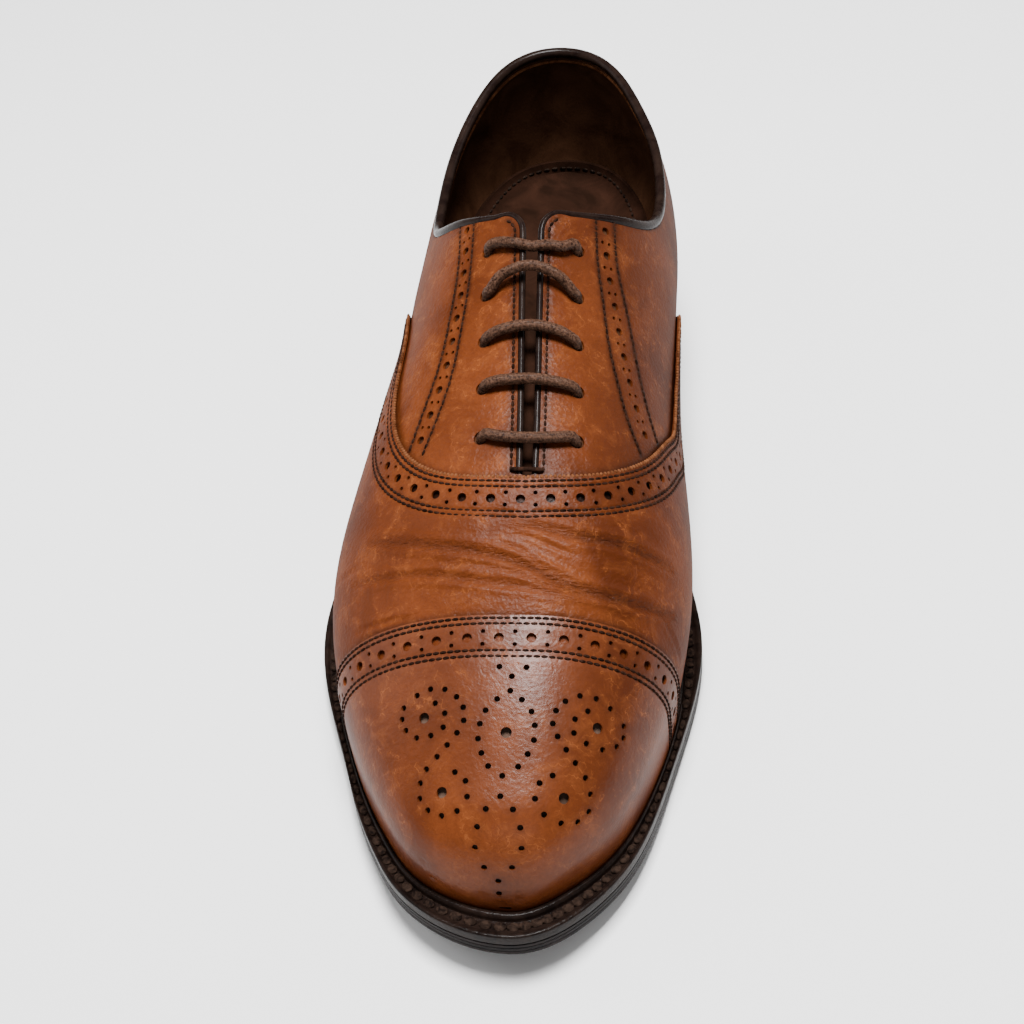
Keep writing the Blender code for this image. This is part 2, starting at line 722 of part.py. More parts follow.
def build_welt(collection, tint):
    section = [(0.0, None)] + list(WELT_SECTION) + [(1.0, None)]

    def build(work):
        rings = []
        for side, columns in ((-1, OUTLINE_U), (1, OUTLINE_U[::-1][1:-1])):
            seat = last_point(side, columns, 0.0)
            inner = welt_inner(side, seat[:, 1])
            width = sole_reach(side, columns) - inner
            for k, u in enumerate(columns):
                ring = []
                for across, rise in section:
                    spot = outline(side, u, inner[k] + width[k] * across)
                    level = OUTSOLE + CLEARANCE if rise is None else OUTSOLE + WELT + WELT_BEAD * rise
                    spot[2] = sole_line(spot[1]) + level
                    ring.append(work.verts.new(place(spot)))
                rings.append(ring)
        for ring, after in zip(rings, rings[1:] + rings[:1]):
            for k in range(len(ring)):
                m = (k + 1) % len(ring)
                work.faces.new([ring[k], ring[m], after[m], after[k]])
        bmesh.ops.recalc_face_normals(work, faces=work.faces)
    return new_object("welt", mesh_from("welt", build), tint, collection)


def main():
    for old in list(bpy.data.objects):
        bpy.data.objects.remove(old)
    shoe = bpy.data.collections.new("brogue_shoe")
    cutters = bpy.data.collections.new("cutters")
    for group in (shoe, cutters):
        bpy.context.scene.collection.children.link(group)
    tan = (0.33, 0.11, 0.035)
    dark = (0.03, 0.017, 0.012)
    tints = {
        "upper": material("tan_leather", tan, 0.42),
        "vamp": material("tan_vamp_leather", tan, 0.40),
        "cap": material("tan_cap_leather", tan, 0.36),
        "piping": material("dark_piping", dark, 0.35),
        "tongue": material("tongue_leather", (0.05, 0.025, 0.015), 0.6),
        "laces": material("waxed_cord", (0.06, 0.032, 0.02), 0.6),
        "welt": material("dark_welt", dark, 0.4),
        "outsole": material("dark_sole_edge", dark, 0.45),
        "insole": material("insole_leather", (0.05, 0.022, 0.014), 0.55),
        "heel_stack": material("stacked_leather", (0.035, 0.02, 0.013), 0.45),
        "top_lift": material("rubber_lift", (0.015, 0.014, 0.013), 0.7),
    }
    build_upper(shoe, cutters, tints["upper"])
    build_vamp(shoe, tints["vamp"])
    build_cap(shoe, tints["cap"])
    build_tongue(shoe, tints["tongue"])
    build_piping(shoe, tints["piping"])
    build_laces(shoe, tints["laces"])
    build_welt(shoe, tints["welt"])
    build_sole(shoe, tints)
    bpy.context.view_layer.update()
    for piece in shoe.objects:
        print(piece.name, len(piece.data.vertices))


if __name__ == "__main__":
    main()
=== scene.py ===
# %% [markdown]
# # A cap toe brogue shoe
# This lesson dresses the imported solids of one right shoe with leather, holes, thread, cord and wear.
# The solids fix where everything is, so they are loaded first and are never moved.

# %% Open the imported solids
import math

import bmesh
import bpy
import numpy as np
from mathutils import Matrix, Vector


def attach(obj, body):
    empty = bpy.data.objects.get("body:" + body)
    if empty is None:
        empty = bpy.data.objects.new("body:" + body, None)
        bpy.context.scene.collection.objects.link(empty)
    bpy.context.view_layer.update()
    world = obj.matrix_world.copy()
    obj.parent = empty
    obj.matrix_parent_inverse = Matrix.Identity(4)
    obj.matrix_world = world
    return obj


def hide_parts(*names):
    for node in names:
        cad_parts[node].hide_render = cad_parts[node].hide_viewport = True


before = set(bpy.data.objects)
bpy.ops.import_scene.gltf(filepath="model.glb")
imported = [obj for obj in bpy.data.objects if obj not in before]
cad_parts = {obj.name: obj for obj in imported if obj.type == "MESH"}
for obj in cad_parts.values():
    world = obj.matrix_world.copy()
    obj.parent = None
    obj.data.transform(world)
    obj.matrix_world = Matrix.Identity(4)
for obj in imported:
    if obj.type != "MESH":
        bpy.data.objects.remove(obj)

bpy.context.view_layer.update()

# %% [markdown]
# ## The last
# Leather has no shape of its own: it takes the shape of the last, the foot form that it is pulled
# over. So the whole upper could be sculpted, but then every panel would have to be fitted by eye.
# Here one function gives the surface of the last, and each panel is a sheet laid on that surface.
# The sizes are the ones that the solids were made from, in metres, and the tables hold shares of them.

# %% Sizes of the shoe
MM = 0.001
SOLE_LENGTH = 0.305
UPPER_LENGTH = 0.2945
BALL_WIDTH = 0.092
INSTEP_HEIGHT = 0.108
HEEL_HEIGHT = 0.025
TOP_LIFT = 0.006
TOE_SPRING = 0.009
OUTSOLE = 0.005
WELT = 0.0032
WELT_BEAD = 0.0018
WELT_REACH = 0.0103
INSOLE_TOP = 0.012
WALL = 0.002
PANEL = 0.0012
CAP = 0.002
CLEARANCE = 0.0003
LACE = 0.0031
EYELET = 0.0046
BREAST, FLAT_START, FLAT_END, SPRING_POWER = 0.25, 0.61, 0.702, 1.8
FACING_TOP, FACING_ROUND, THROAT = 0.398, 0.007, 0.672
FACING_GAP_TOP, FACING_GAP_LOW = 0.0037, 0.0031
HOLE_ROWS, HOLE_FIRST, HOLE_PITCH, HOLE_SIDE = 5, 0.4295, 0.0151, 0.0132
SEAT_BACK, COUNTER_BACK, SEAT_ROUNDNESS, COUNTER_ROUNDNESS = 0.0102, 0.0027, 2.7, 2.1
BAND_AROUND, BAND_SHARE, WIDEST_AROUND = 0.05, 0.055, 0.3
VAMP_LIFT = CLEARANCE + PANEL
CAP_LIFT = CLEARANCE + CAP

# %% [markdown]
# Each row below is one section of the last, from behind the instep to the toe. The columns hold the
# place along the foot, the half widths at the sole and at the widest level on both sides, the height
# of the widest level, the height and the lean of the top line, the roundness above the widest
# level, and how far the sole stands out.

# %% Sections of the last
STATION_NAMES = ("along", "foot_out", "foot_in", "wide_out", "wide_in", "level", "ridge", "lean",
                 "full_out", "full_in", "reach_out", "reach_in")
STATIONS = (
    (0.272, 0.342, 0.337, 0.440, 0.455, 0.27, 1.046, 0.000, 1.32, 1.68, 0.29, 0.29),
    (0.357, 0.353, 0.332, 0.446, 0.457, 0.31, 1.000, 0.011, 1.45, 1.70, 0.37, 0.31),
    (0.431, 0.397, 0.337, 0.457, 0.460, 0.34, 0.926, 0.022, 1.60, 1.70, 0.53, 0.41),
    (0.509, 0.457, 0.364, 0.493, 0.472, 0.36, 0.852, 0.033, 1.75, 1.75, 0.78, 0.60),
    (0.594, 0.516, 0.413, 0.538, 0.503, 0.36, 0.778, 0.046, 1.85, 1.85, 1.05, 0.88),
    (0.679, 0.543, 0.457, 0.558, 0.517, 0.37, 0.694, 0.054, 1.95, 1.95, 1.00, 0.95),
    (0.754, 0.533, 0.473, 0.534, 0.494, 0.38, 0.599, 0.050, 2.05, 2.05, 0.61, 0.60),
    (0.822, 0.468, 0.440, 0.470, 0.442, 0.39, 0.522, 0.046, 2.10, 2.10, 0.48, 0.47),
    (0.883, 0.386, 0.384, 0.386, 0.384, 0.39, 0.458, 0.046, 2.15, 2.15, 0.58, 0.56),
    (0.937, 0.288, 0.304, 0.288, 0.304, 0.41, 0.394, 0.048, 2.20, 2.20, 0.70, 0.72),
    (0.978, 0.168, 0.185, 0.168, 0.185, 0.45, 0.320, 0.050, 2.20, 2.20, 0.84, 0.92),
    (1.000, 0.000, 0.000, 0.000, 0.000, 0.50, 0.000, 0.051, 2.20, 2.20, 1.00, 1.00),
)
# The heel curve: angle from the back, roundness on the outer and on the inner side.
HEEL_ARCS = ((0.0, 3.0, 3.0), (22.5, 2.75, 2.75), (45.0, 2.05, 2.10), (67.5, 1.55, 1.85))
# Collar height on both sides at even steps from behind the heel, as shares of the instep height.
COLLAR_START, COLLAR_STEP = -0.05, 0.05
COLLAR = ((0.786, 0.786), (0.783, 0.783), (0.762, 0.766), (0.724, 0.736), (0.685, 0.706), (0.656, 0.685),
          (0.640, 0.676), (0.662, 0.698), (0.776, 0.786), (0.925, 0.935), (1.060, 1.070))
# Edges of the panels at even levels from the seat to the top line, outer and inner side.
VAMP_EDGE = ((0.330, 0.328), (0.336, 0.334), (0.344, 0.341), (0.355, 0.357), (0.376, 0.500), (0.452, 0.560),
             (0.564, 0.607), (0.632, 0.642), (0.663, 0.663), (0.674, 0.673), (0.677, 0.677))
CAP_EDGE = ((0.788, 0.768), (0.791, 0.775), (0.793, 0.784), (0.795, 0.792), (0.797, 0.797))


# %% [markdown]
# A smooth curve runs through the rows of a table, so a few rows are enough for the whole foot. Rows
# are mirrored past the heel and past the toe, which lets both ends close without a crease.

# %% Smooth curves through a table
def curve_through(rows):
    count = len(rows)
    matrix = np.eye(count)
    right = np.zeros_like(rows)
    for k in range(1, count - 1):
        matrix[k, k - 1:k + 2] = (1.0, 4.0, 1.0)
        right[k] = 6.0 * (rows[k - 1] - 2.0 * rows[k] + rows[k + 1])
    return np.linalg.solve(matrix, right)


def curve_value(rows, bends, place):
    k = np.clip(np.floor(place).astype(int), 0, len(rows) - 2)
    b = (place - k)[..., None]
    a = 1.0 - b
    return a * rows[k] + b * rows[k + 1] + ((a ** 3 - a) * bends[k] + (b ** 3 - b) * bends[k + 1]) / 6.0


def smooth_step(t):
    t = np.clip(t, 0.0, 1.0)
    return t * t * (3.0 - 2.0 * t)


def sole_line(along):
    """Height of the underside of the outsole."""
    along = np.asarray(along, float)
    arch = smooth_step((along / SOLE_LENGTH - BREAST) / (FLAT_START - BREAST))
    spring = np.clip((along / SOLE_LENGTH - FLAT_END) / (1.0 - FLAT_END), 0.0, 2.0)
    return HEEL_HEIGHT * (1.0 - arch) + TOE_SPRING * spring ** SPRING_POWER


# %% [markdown]
# The shares of the table become metres for one side of the foot at a time, and the heel is closed by a
# quarter turn of added rows. The heel could have had rows of its own in the table, but as a formula it
# stays round whatever its width is.

# %% Working table of the last
BASE, WIDE, TOP, FOOT, BROAD, LEAN, FLOOR, RISE, LEVEL, FULL, REACH = range(11)
MIRRORED, MIRROR = [FOOT, BROAD], 6


def station_table(side):
    tag = "_out" if side < 0 else "_in"
    rows = []
    for numbers in STATIONS:
        row = dict(zip(STATION_NAMES, numbers))
        along = row["along"] * UPPER_LENGTH
        floor = float(max(sole_line(along), sole_line(along + 1.5 * CAP))) + OUTSOLE + CLEARANCE
        lean = row["lean"] * BALL_WIDTH
        foot, broad = row["foot" + tag] * BALL_WIDTH, row["wide" + tag] * BALL_WIDTH
        shift = side * lean if foot else 0.0
        rise = row["ridge"] * INSTEP_HEIGHT - floor if row["ridge"] else 0.0
        rows.append([along, along, along, foot - shift, broad - shift, lean, floor, rise,
                     row["level"], row["full" + tag], row["reach" + tag] * WELT_REACH])
    first, heel = rows[0], []
    for angle, full_out, full_in in HEEL_ARCS:
        turn = math.radians(angle)
        row = list(first)
        row[BASE] += (SEAT_BACK * UPPER_LENGTH - first[BASE]) * math.cos(turn) ** (2.0 / SEAT_ROUNDNESS)
        row[WIDE] += (COUNTER_BACK * UPPER_LENGTH - first[WIDE]) * math.cos(turn) ** (2.0 / COUNTER_ROUNDNESS)
        row[FOOT] = first[FOOT] * math.sin(turn) ** (2.0 / SEAT_ROUNDNESS)
        row[BROAD] = first[BROAD] * math.sin(turn) ** (2.0 / COUNTER_ROUNDNESS)
        row[FULL] = full_out if side < 0 else full_in
        heel.append(row)
    return np.array(heel + rows)


def mirrored_ends(rows):
    back, front = rows[1:MIRROR + 1][::-1].copy(), rows[-MIRROR - 1:-1][::-1].copy()
    back[:, MIRRORED] *= -1.0
    front[:, MIRRORED + [RISE]] *= -1.0
    return np.concatenate([back, rows, front])


TABLES = {side: mirrored_ends(station_table(side)) for side in (-1, 1)}
BENDS = {side: curve_through(TABLES[side]) for side in (-1, 1)}
FIRST = float(len(HEEL_ARCS))
TIP = float(len(HEEL_ARCS) + len(STATIONS) - 1)
print("stations", int(TIP) + 1)


# %% [markdown]
# Two numbers name a place on the last. The first counts stations from the back of the heel to the
# toe. The second is a level: minus one is the seat on the outer side, zero is the top line and one
# is the seat on the inner side. A third, the lift, stands the place off the surface.

# %% Places on the last
def row_at(side, u):
    return curve_value(TABLES[side], BENDS[side], np.asarray(u, float) + MIRROR)


def last_point(side, u, v):
    u, v = np.broadcast_arrays(np.asarray(u, float), np.asarray(v, float))
    row = row_at(side, u)
    column = [row[..., k] for k in range(11)]
    flare = np.clip((v - BAND_AROUND) / (WIDEST_AROUND - BAND_AROUND), 0.0, 1.0)
    low = np.sin(flare * math.pi / 2.0)
    turn = np.clip((v - WIDEST_AROUND) / (1.0 - WIDEST_AROUND), 0.0, 1.0) * math.pi / 2.0
    out = np.maximum(np.cos(turn), 0.0) ** (2.0 / column[FULL])
    up = np.sin(turn) ** (2.0 / column[FULL])
    below = v < WIDEST_AROUND
    half = np.where(below, column[FOOT] + (column[BROAD] - column[FOOT]) * low, column[BROAD] * out)
    along = np.where(below, column[BASE] + (column[WIDE] - column[BASE]) * low,
                     column[TOP] + (column[WIDE] - column[TOP]) * out)
    wall = np.clip(v / BAND_AROUND, 0.0, 1.0) * BAND_SHARE
    share = np.where(below, wall + (column[LEVEL] - BAND_SHARE) * flare,
                     column[LEVEL] + (1.0 - column[LEVEL]) * up)
    return np.stack([column[LEAN] + side * half, along, column[FLOOR] + column[RISE] * share], -1)


def last_normal(side, u, v):
    u, v = np.broadcast_arrays(np.asarray(u, float), np.asarray(v, float))
    near = 0.004
    across = np.clip(v, near, 1.0 - near)
    forward = np.minimum(u, TIP - 0.05)
    du = last_point(side, forward + near, v) - last_point(side, forward - near, v)
    dv = last_point(side, forward, across + near) - last_point(side, forward, across - near)
    dv = np.where((v > 1.0 - 1e-6)[..., None], np.array([-side * 1.0, 0.0, 0.0]), dv)
    normal = np.cross(du, dv) * side
    return normal / np.maximum(np.linalg.norm(normal, axis=-1, keepdims=True), 1e-12)


def on_both(function, u, w):
    """The outer side's answer below level zero and the inner side's answer above it."""
    u, w = np.broadcast_arrays(np.asarray(u, float), np.asarray(w, float))
    v = 1.0 - np.abs(w)
    return np.where((w < 0.0)[..., None], function(-1, u, v), function(1, u, v))


def shoe_point(u, w, lift=0.0):
    return on_both(last_point, u, w) + on_both(last_normal, u, w) * np.asarray(lift)[..., None]


def station_of(along):
    steps = np.linspace(FIRST, TIP, 1201)
    return np.interp(along, row_at(1, steps)[:, BASE], steps)


def outline(side, u, offset):
    """Plan outline of the seat, moved outwards."""
    step = 0.002
    ahead = last_point(side, np.asarray(u) + step, 0.0) - last_point(side, np.asarray(u) - step, 0.0)
    way = np.stack([ahead[..., 1] * side, -ahead[..., 0] * side, np.zeros(ahead.shape[:-1])], -1)
    way /= np.linalg.norm(way, axis=-1, keepdims=True)
    return last_point(side, u, 0.0) + way * np.asarray(offset)[..., None]


def sole_reach(side, u):
    return row_at(side, u)[..., REACH]


# %% [markdown]
# The solids stand with the toe towards minus Y and with the middle of the sole over the origin. The same shift
# is worked out here from the sole's own outline.

# %% Shift into the shared frame
OUTLINE_U = np.concatenate([np.linspace(0.0, FIRST, 13)[:-1], np.linspace(FIRST, TIP - 2.0, 17)[:-1],
                            np.linspace(TIP - 2.0, TIP, 9)])
EDGE = np.concatenate([outline(side, OUTLINE_U, sole_reach(side, OUTLINE_U)) for side in (-1, 1)])
MIDDLE_X = (EDGE[:, 0].min() + EDGE[:, 0].max()) / 2.0
MIDDLE_ALONG = (EDGE[:, 1].min() + EDGE[:, 1].max()) / 2.0


def place(points):
    points = np.asarray(points, float)
    return np.stack([points[..., 0] - MIDDLE_X, MIDDLE_ALONG - points[..., 1], points[..., 2]], -1)


def spot(u, w, lift=0.0):
    return place(shoe_point(u, w, lift))


def outwards(u, w):
    """Outward direction of the leather in the shared frame."""
    return on_both(last_normal, u, w) * np.array([1.0, -1.0, 1.0])


# %% [markdown]
# ## Edges of the leather
# The collar dips under the ankle and rises to the top of the facings. The throat is a narrow gap
# between two straight facings whose upper corners are rounded. Each is found by moving up a column
# of the last until the test no longer holds.

# %% Collar and throat
def half_gap(along):
    start, end = FACING_TOP * UPPER_LENGTH, THROAT * UPPER_LENGTH
    share = np.clip((along - start) / (end - start), 0.0, 1.0)
    plain = FACING_GAP_TOP + (FACING_GAP_LOW - FACING_GAP_TOP) * share
    into = np.clip(FACING_ROUND - (along - start), 0.0, FACING_ROUND)
    corner = FACING_ROUND - np.sqrt(FACING_ROUND ** 2 - into ** 2)
    return np.where(along < start, 0.0, plain + corner)


def collar_height(side, along):
    heights = np.array(COLLAR)[:, [0 if side < 0 else 1]]
    step = np.clip((along / UPPER_LENGTH - COLLAR_START) / COLLAR_STEP, 0.0, len(heights) - 1.0)
    return curve_value(heights, curve_through(heights), step)[..., 0] * INSTEP_HEIGHT


def solve_around(side, u, inside):
    low, high = np.full(np.shape(u), WIDEST_AROUND), np.ones(np.shape(u))
    for _ in range(34):
        middle = (low + high) / 2.0
        keep = inside(last_point(side, u, middle))
        low, high = np.where(keep, middle, low), np.where(keep, high, middle)
    return low


def rim_around(side, u):
    """Level of the collar and of the facing edge in each column."""
    lean = row_at(side, u)[..., LEAN]

    def inside(point):
        apart = np.abs(point[..., 0] - lean) > half_gap(point[..., 1])
        return np.where(point[..., 1] > FACING_TOP * UPPER_LENGTH, apart,
                        point[..., 2] < collar_height(side, point[..., 1]))
    closed = row_at(side, u)[..., TOP] > THROAT * UPPER_LENGTH + 0.5 * MM
    return np.where(closed & (np.asarray(u) > FIRST), 1.0, solve_around(side, u, inside))


def level_at(across, u):
    """Level, with its sign, at which a column stands a plan distance from the top line."""
    across, u = np.broadcast_arrays(np.asarray(across, float), np.asarray(u, float))
    found = []
    for side in (-1, 1):
        lean = row_at(side, u)[..., LEAN]
        level = solve_around(side, u, lambda point: np.abs(point[..., 0] - lean) > np.abs(across))
        found.append(side * (1.0 - level))
    return np.where(np.abs(across) < 1e-6, 0.0, np.where(across < 0.0, found[0], found[1]))


# How far a corner of a panel's edge is eased, as a share of the way from the seat to the top line.
EDGE_SOFT = 0.030


def edge_station(table, w):
    """Station of a panel's edge at signed levels, with its corners eased."""
    w = np.asarray(w, float)
    found = []
    for column in (0, 1):
        rows = np.array(table)[:, [column]]
        bends, along = curve_through(rows), 0.0
        for shift, weight in ((-EDGE_SOFT, 0.25), (0.0, 0.5), (EDGE_SOFT, 0.25)):
            level = np.clip(1.0 - np.abs(w) + shift, 0.0, 1.0)
            along = along + weight * curve_value(rows, bends, level * (len(rows) - 1))[..., 0]
        found.append(station_of(along * UPPER_LENGTH))
    return np.where(w < 0.0, found[0], found[1])


# %% [markdown]
# ## Lines that run beside an edge
# A stitching machine follows the edge of a panel at a fixed distance. To copy that, a line is walked
# sideways over the last in small steps, square to itself, and is then divided into even lengths.

# %% Guide lines on the leather
def walk_aside(u, w, distance):
    """Moves a line over the last, towards the toe for a line that runs from the outer side inwards."""
    steps = max(1, int(abs(distance) / (1.0 * MM)))
    h = 0.004
    for _ in range(steps):
        du = (shoe_point(u + h, w) - shoe_point(u - h, w)) / (2.0 * h)
        dw = (shoe_point(u, w + h) - shoe_point(u, w - h)) / (2.0 * h)
        out = np.cross(dw, du)
        out *= np.sign(np.sum(out * on_both(last_normal, u, w), -1, keepdims=True))
        way = np.cross(out, np.gradient(shoe_point(u, w), axis=0))
        way = unit(way) * distance / steps
        a, b, c = np.sum(du * du, -1), np.sum(du * dw, -1), np.sum(dw * dw, -1)
        p, q = np.sum(du * way, -1), np.sum(dw * way, -1)
        det = np.maximum(a * c - b * b, 1e-14)
        u = u + (c * p - b * q) / det
        w = np.clip(w + (a * q - b * p) / det, -1.0, 1.0)
    return u, w


def run_length(points):
    return np.concatenate([[0.0], np.cumsum(np.linalg.norm(np.diff(points, axis=0), axis=1))])


def even_steps(u, w, pitch, start=0.5, lift=0.0):
    """Places at even lengths along a line, with the direction of the line and of the surface."""
    points = spot(u, w, lift)
    run = run_length(points)
    count = max(1, int(round(run[-1] / pitch)))
    at = (np.arange(count) + start) * run[-1] / count
    at = at[at <= run[-1]]
    uu, ww = np.interp(at, run, u), np.interp(at, run, w)
    middle = spot(uu, ww, lift)
    ahead = np.stack([np.interp(at + 0.3 * MM, run, points[:, k]) - np.interp(at - 0.3 * MM, run, points[:, k])
                      for k in range(3)], -1)
    out = spot(uu, ww, lift + 1.0) - middle
    return middle, unit(ahead), unit(out)


def unit(vectors):
    return vectors / np.maximum(np.linalg.norm(vectors, axis=-1, keepdims=True), 1e-12)


def frames(middle, ahead, out, stretch=(1.0, 1.0, 1.0)):
    """Turned and stretched places: local X runs ahead, local Z points out of the leather."""
    aside = unit(np.cross(out, ahead))
    out = np.cross(ahead, aside)
    made = np.zeros((len(middle), 4, 4))
    made[:, :3, 0], made[:, :3, 1], made[:, :3, 2] = ahead * stretch[0], aside * stretch[1], out * stretch[2]
    made[:, :3, 3], made[:, 3, 3] = middle, 1.0
    return made


around = np.concatenate([np.linspace(-1.0, -0.02, 330), [0.0], np.linspace(0.02, 1.0, 330)])
vamp_line = (edge_station(VAMP_EDGE, around), around)
cap_line = (edge_station(CAP_EDGE, around), around)
edge_lengths = [run_length(spot(*line))[-1] for line in (vamp_line, cap_line)]
print("vamp edge and cap edge", [round(float(length), 4) for length in edge_lengths], "m")


# %% [markdown]
# ## How a piece is made here
# Each sheet starts as a flat grid from Blender's own operator, and its corners are then laid on the
# last. Modifiers give it a wall and cut its holes, and are applied, so the mesh that stays is the
# finished surface. Small things that repeat, such as stitches, are one shape copied many times.

# %% Making and finishing pieces
def add_piece(name, work, finish, nodes, corner=40.0):
    mesh = bpy.data.meshes.new(name)
    work.to_mesh(mesh)
    work.free()
    piece = bpy.data.objects.new(name, mesh)
    bpy.context.scene.collection.objects.link(piece)
    mesh.materials.append(finish)
    mesh.shade_smooth()
    mesh.set_sharp_from_angle(angle=math.radians(corner))
    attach(piece, "root")
    if nodes:
        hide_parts(*nodes)
    return piece


def bent_grid(cells_p, cells_q, lay):
    """A flat grid whose corners are laid where the function puts two shares from 0 to 1."""
    work = bmesh.new()
    bmesh.ops.create_grid(work, x_segments=cells_p, y_segments=cells_q, size=0.5)
    shares = np.array([dot.co[:2] for dot in work.verts]) + 0.5
    for dot, where in zip(work.verts, lay(shares[:, 0], shares[:, 1])):
        dot.co = where
    bmesh.ops.remove_doubles(work, verts=work.verts, dist=0.000005)
    bmesh.ops.dissolve_degenerate(work, edges=work.edges, dist=0.000005)
    return work


def face_outwards(work, inside):
    """Turns an open sheet so that its faces look away from a point inside the shoe."""
    bmesh.ops.recalc_face_normals(work, faces=work.faces)
    total = sum((face.calc_center_median() - Vector(inside)).dot(face.normal) * face.calc_area()
                for face in work.faces)
    if total < 0.0:
        bmesh.ops.reverse_faces(work, faces=work.faces)
    return work


def apply_all(piece, corner=40.0):
    bpy.context.view_layer.update()
    whole = piece.evaluated_get(bpy.context.evaluated_depsgraph_get())
    mesh = bpy.data.meshes.new_from_object(whole)
    piece.modifiers.clear()
    old = piece.data
    piece.data = mesh
    bpy.data.meshes.remove(old)
    mesh.name = piece.name
    mesh.shade_smooth()
    mesh.set_sharp_from_angle(angle=math.radians(corner))
    return piece


def give_wall(piece, thickness, holes=None):
    wall = piece.modifiers.new("Wall", "SOLIDIFY")
    wall.thickness = thickness
    wall.offset = -1.0
    apply_all(piece)
    if holes is not None:
        cut = piece.modifiers.new("Punched holes", "BOOLEAN")
        cut.operation = "DIFFERENCE"
        cut.solver = "MANIFOLD"
        cut.object = holes
        apply_all(piece)
        bpy.data.objects.remove(holes)
    print(piece.name, len(piece.data.polygons), "faces")
    return piece


def copies(pattern, places):
    """One mesh copied to many turned places."""
    shape = np.array([(*dot.co, 1.0) for dot in pattern.verts])
    rings = [[dot.index for dot in face.verts] for face in pattern.faces]
    spots = np.einsum("nij,kj->nki", places, shape)[..., :3].reshape(-1, 3)
    faces = [[index + len(shape) * n for index in ring] for n in range(len(places)) for ring in rings]
    mesh = bpy.data.meshes.new("copies")
    mesh.from_pydata(spots.tolist(), [], faces)
    work = bmesh.new()
    work.from_mesh(mesh)
    bpy.data.meshes.remove(mesh)
    pattern.free()
    return work


def indexed(work):
    work.verts.index_update()
    work.faces.index_update()
    return work


# %% [markdown]
# A punch is a short many sided rod that goes through the leather. All the punches of a panel become
# one cutter, so that the panel is cut once. The leather also sinks a little round each hole, which
# is what catches the light on the real shoe.

# %% Punches and dents
def punch_rod():
    work = bmesh.new()
    bmesh.ops.create_cone(work, cap_ends=True, segments=14, radius1=1.0, radius2=1.0, depth=1.0)
    return indexed(work)


def punches(groups, depth):
    """groups holds (middle, ahead, out, radius) for each kind of hole."""
    made = []
    for middle, ahead, out, radius in groups:
        made.append(frames(middle, ahead, out, (radius, radius, depth)))
    work = copies(punch_rod(), np.concatenate(made))
    mesh = bpy.data.meshes.new("punches")
    work.to_mesh(mesh)
    work.free()
    cutter = bpy.data.objects.new("punches", mesh)
    bpy.context.scene.collection.objects.link(cutter)
    return cutter


def nearest(points, targets, chunk=4000):
    """Distance from each point to the nearest target, and which target that is."""
    gap, which = [], []
    for k in range(0, len(points), chunk):
        part = points[k:k + chunk]
        square = (part ** 2).sum(1)[:, None] + (targets ** 2).sum(1)[None] - 2.0 * part @ targets.T
        best = square.argmin(1)
        which.append(best)
        gap.append(np.sqrt(np.maximum(square[np.arange(len(part)), best], 0.0)))
    return np.concatenate(gap), np.concatenate(which)


def hollow(points, lines, depth, width):
    """A soft trough of a given depth along lines of points."""
    gap, _ = nearest(points, lines)
    return -depth * np.exp(-(gap / width) ** 2)


# %% [markdown]
# ## Where the holes and the stitches go
# A brogued band is the same on every panel: two rows of stitches, a row of large holes with small
# pairs between them, and two more rows of stitches. The distances are measured from the edge.

# %% Brogued bands of the vamp and the cap
VAMP_ROWS = (1.3 * MM, 2.9 * MM, 9.9 * MM, 11.4 * MM)
CAP_ROWS = (0.9 * MM, 2.4 * MM, 9.8 * MM, 11.4 * MM)
BAND_MIDDLE = 6.4 * MM
BAND_PITCH = 8.2 * MM
BIG_HOLE = 1.3 * MM
SMALL_HOLE = 0.6 * MM
PAIR_ASIDE = 1.75 * MM
CAP_STRETCH = 1.03


def band_holes(line, lift, pitch, big, small, aside):
    """Large holes along a line, with small pairs half way between them."""
    middle, ahead, out = even_steps(*line, pitch, 0.5, lift)
    groups = [(middle, ahead, out, big)]
    between, ahead2, out2 = even_steps(*line, pitch, 0.0, lift)
    cross = unit(np.cross(out2, ahead2))
    for side in (-aside, aside):
        groups.append((between[1:] + cross[1:] * side, ahead2[1:], out2[1:], small))
    return groups


def trim(line, low, high):
    """Keeps the part of a line between two signed levels."""
    keep = (line[1] > low) & (line[1] < high)
    return line[0][keep], line[1][keep]


def inset(line, edge, distance):
    """Drops the spots of a shifted line that folded back nearer to the edge than they should be."""
    gap = np.abs(nearest(spot(*line), spot(*edge))[0])
    keep = gap > distance * 0.93
    return line[0][keep], line[1][keep]


vamp_rows = [inset(trim(walk_aside(*vamp_line, d), -0.99, 0.99), vamp_line, d) for d in VAMP_ROWS]
vamp_band = inset(trim(walk_aside(*vamp_line, BAND_MIDDLE), -0.97, 0.97), vamp_line, BAND_MIDDLE)
vamp_holes = band_holes(vamp_band, VAMP_LIFT, BAND_PITCH, BIG_HOLE, SMALL_HOLE, PAIR_ASIDE)
cap_rows = [trim(walk_aside(*cap_line, d), -0.985, 0.985) for d in CAP_ROWS]
cap_band = trim(walk_aside(*cap_line, BAND_MIDDLE), -0.96, 0.96)
cap_holes = band_holes(cap_band, CAP_LIFT, BAND_PITCH * CAP_STRETCH, BIG_HOLE * CAP_STRETCH, SMALL_HOLE,
                       PAIR_ASIDE)
print("vamp holes", sum(len(g[0]) for g in vamp_holes), "cap holes", sum(len(g[0]) for g in cap_holes))

# %% [markdown]
# The medallion on the cap is a common brogue ornament: a chain of lozenges down the middle, and on
# each side a scroll that turns round two larger holes. Half of it is charted, in millimetres from
# its axis and from the back of the shoe, and the other half is its mirror image.

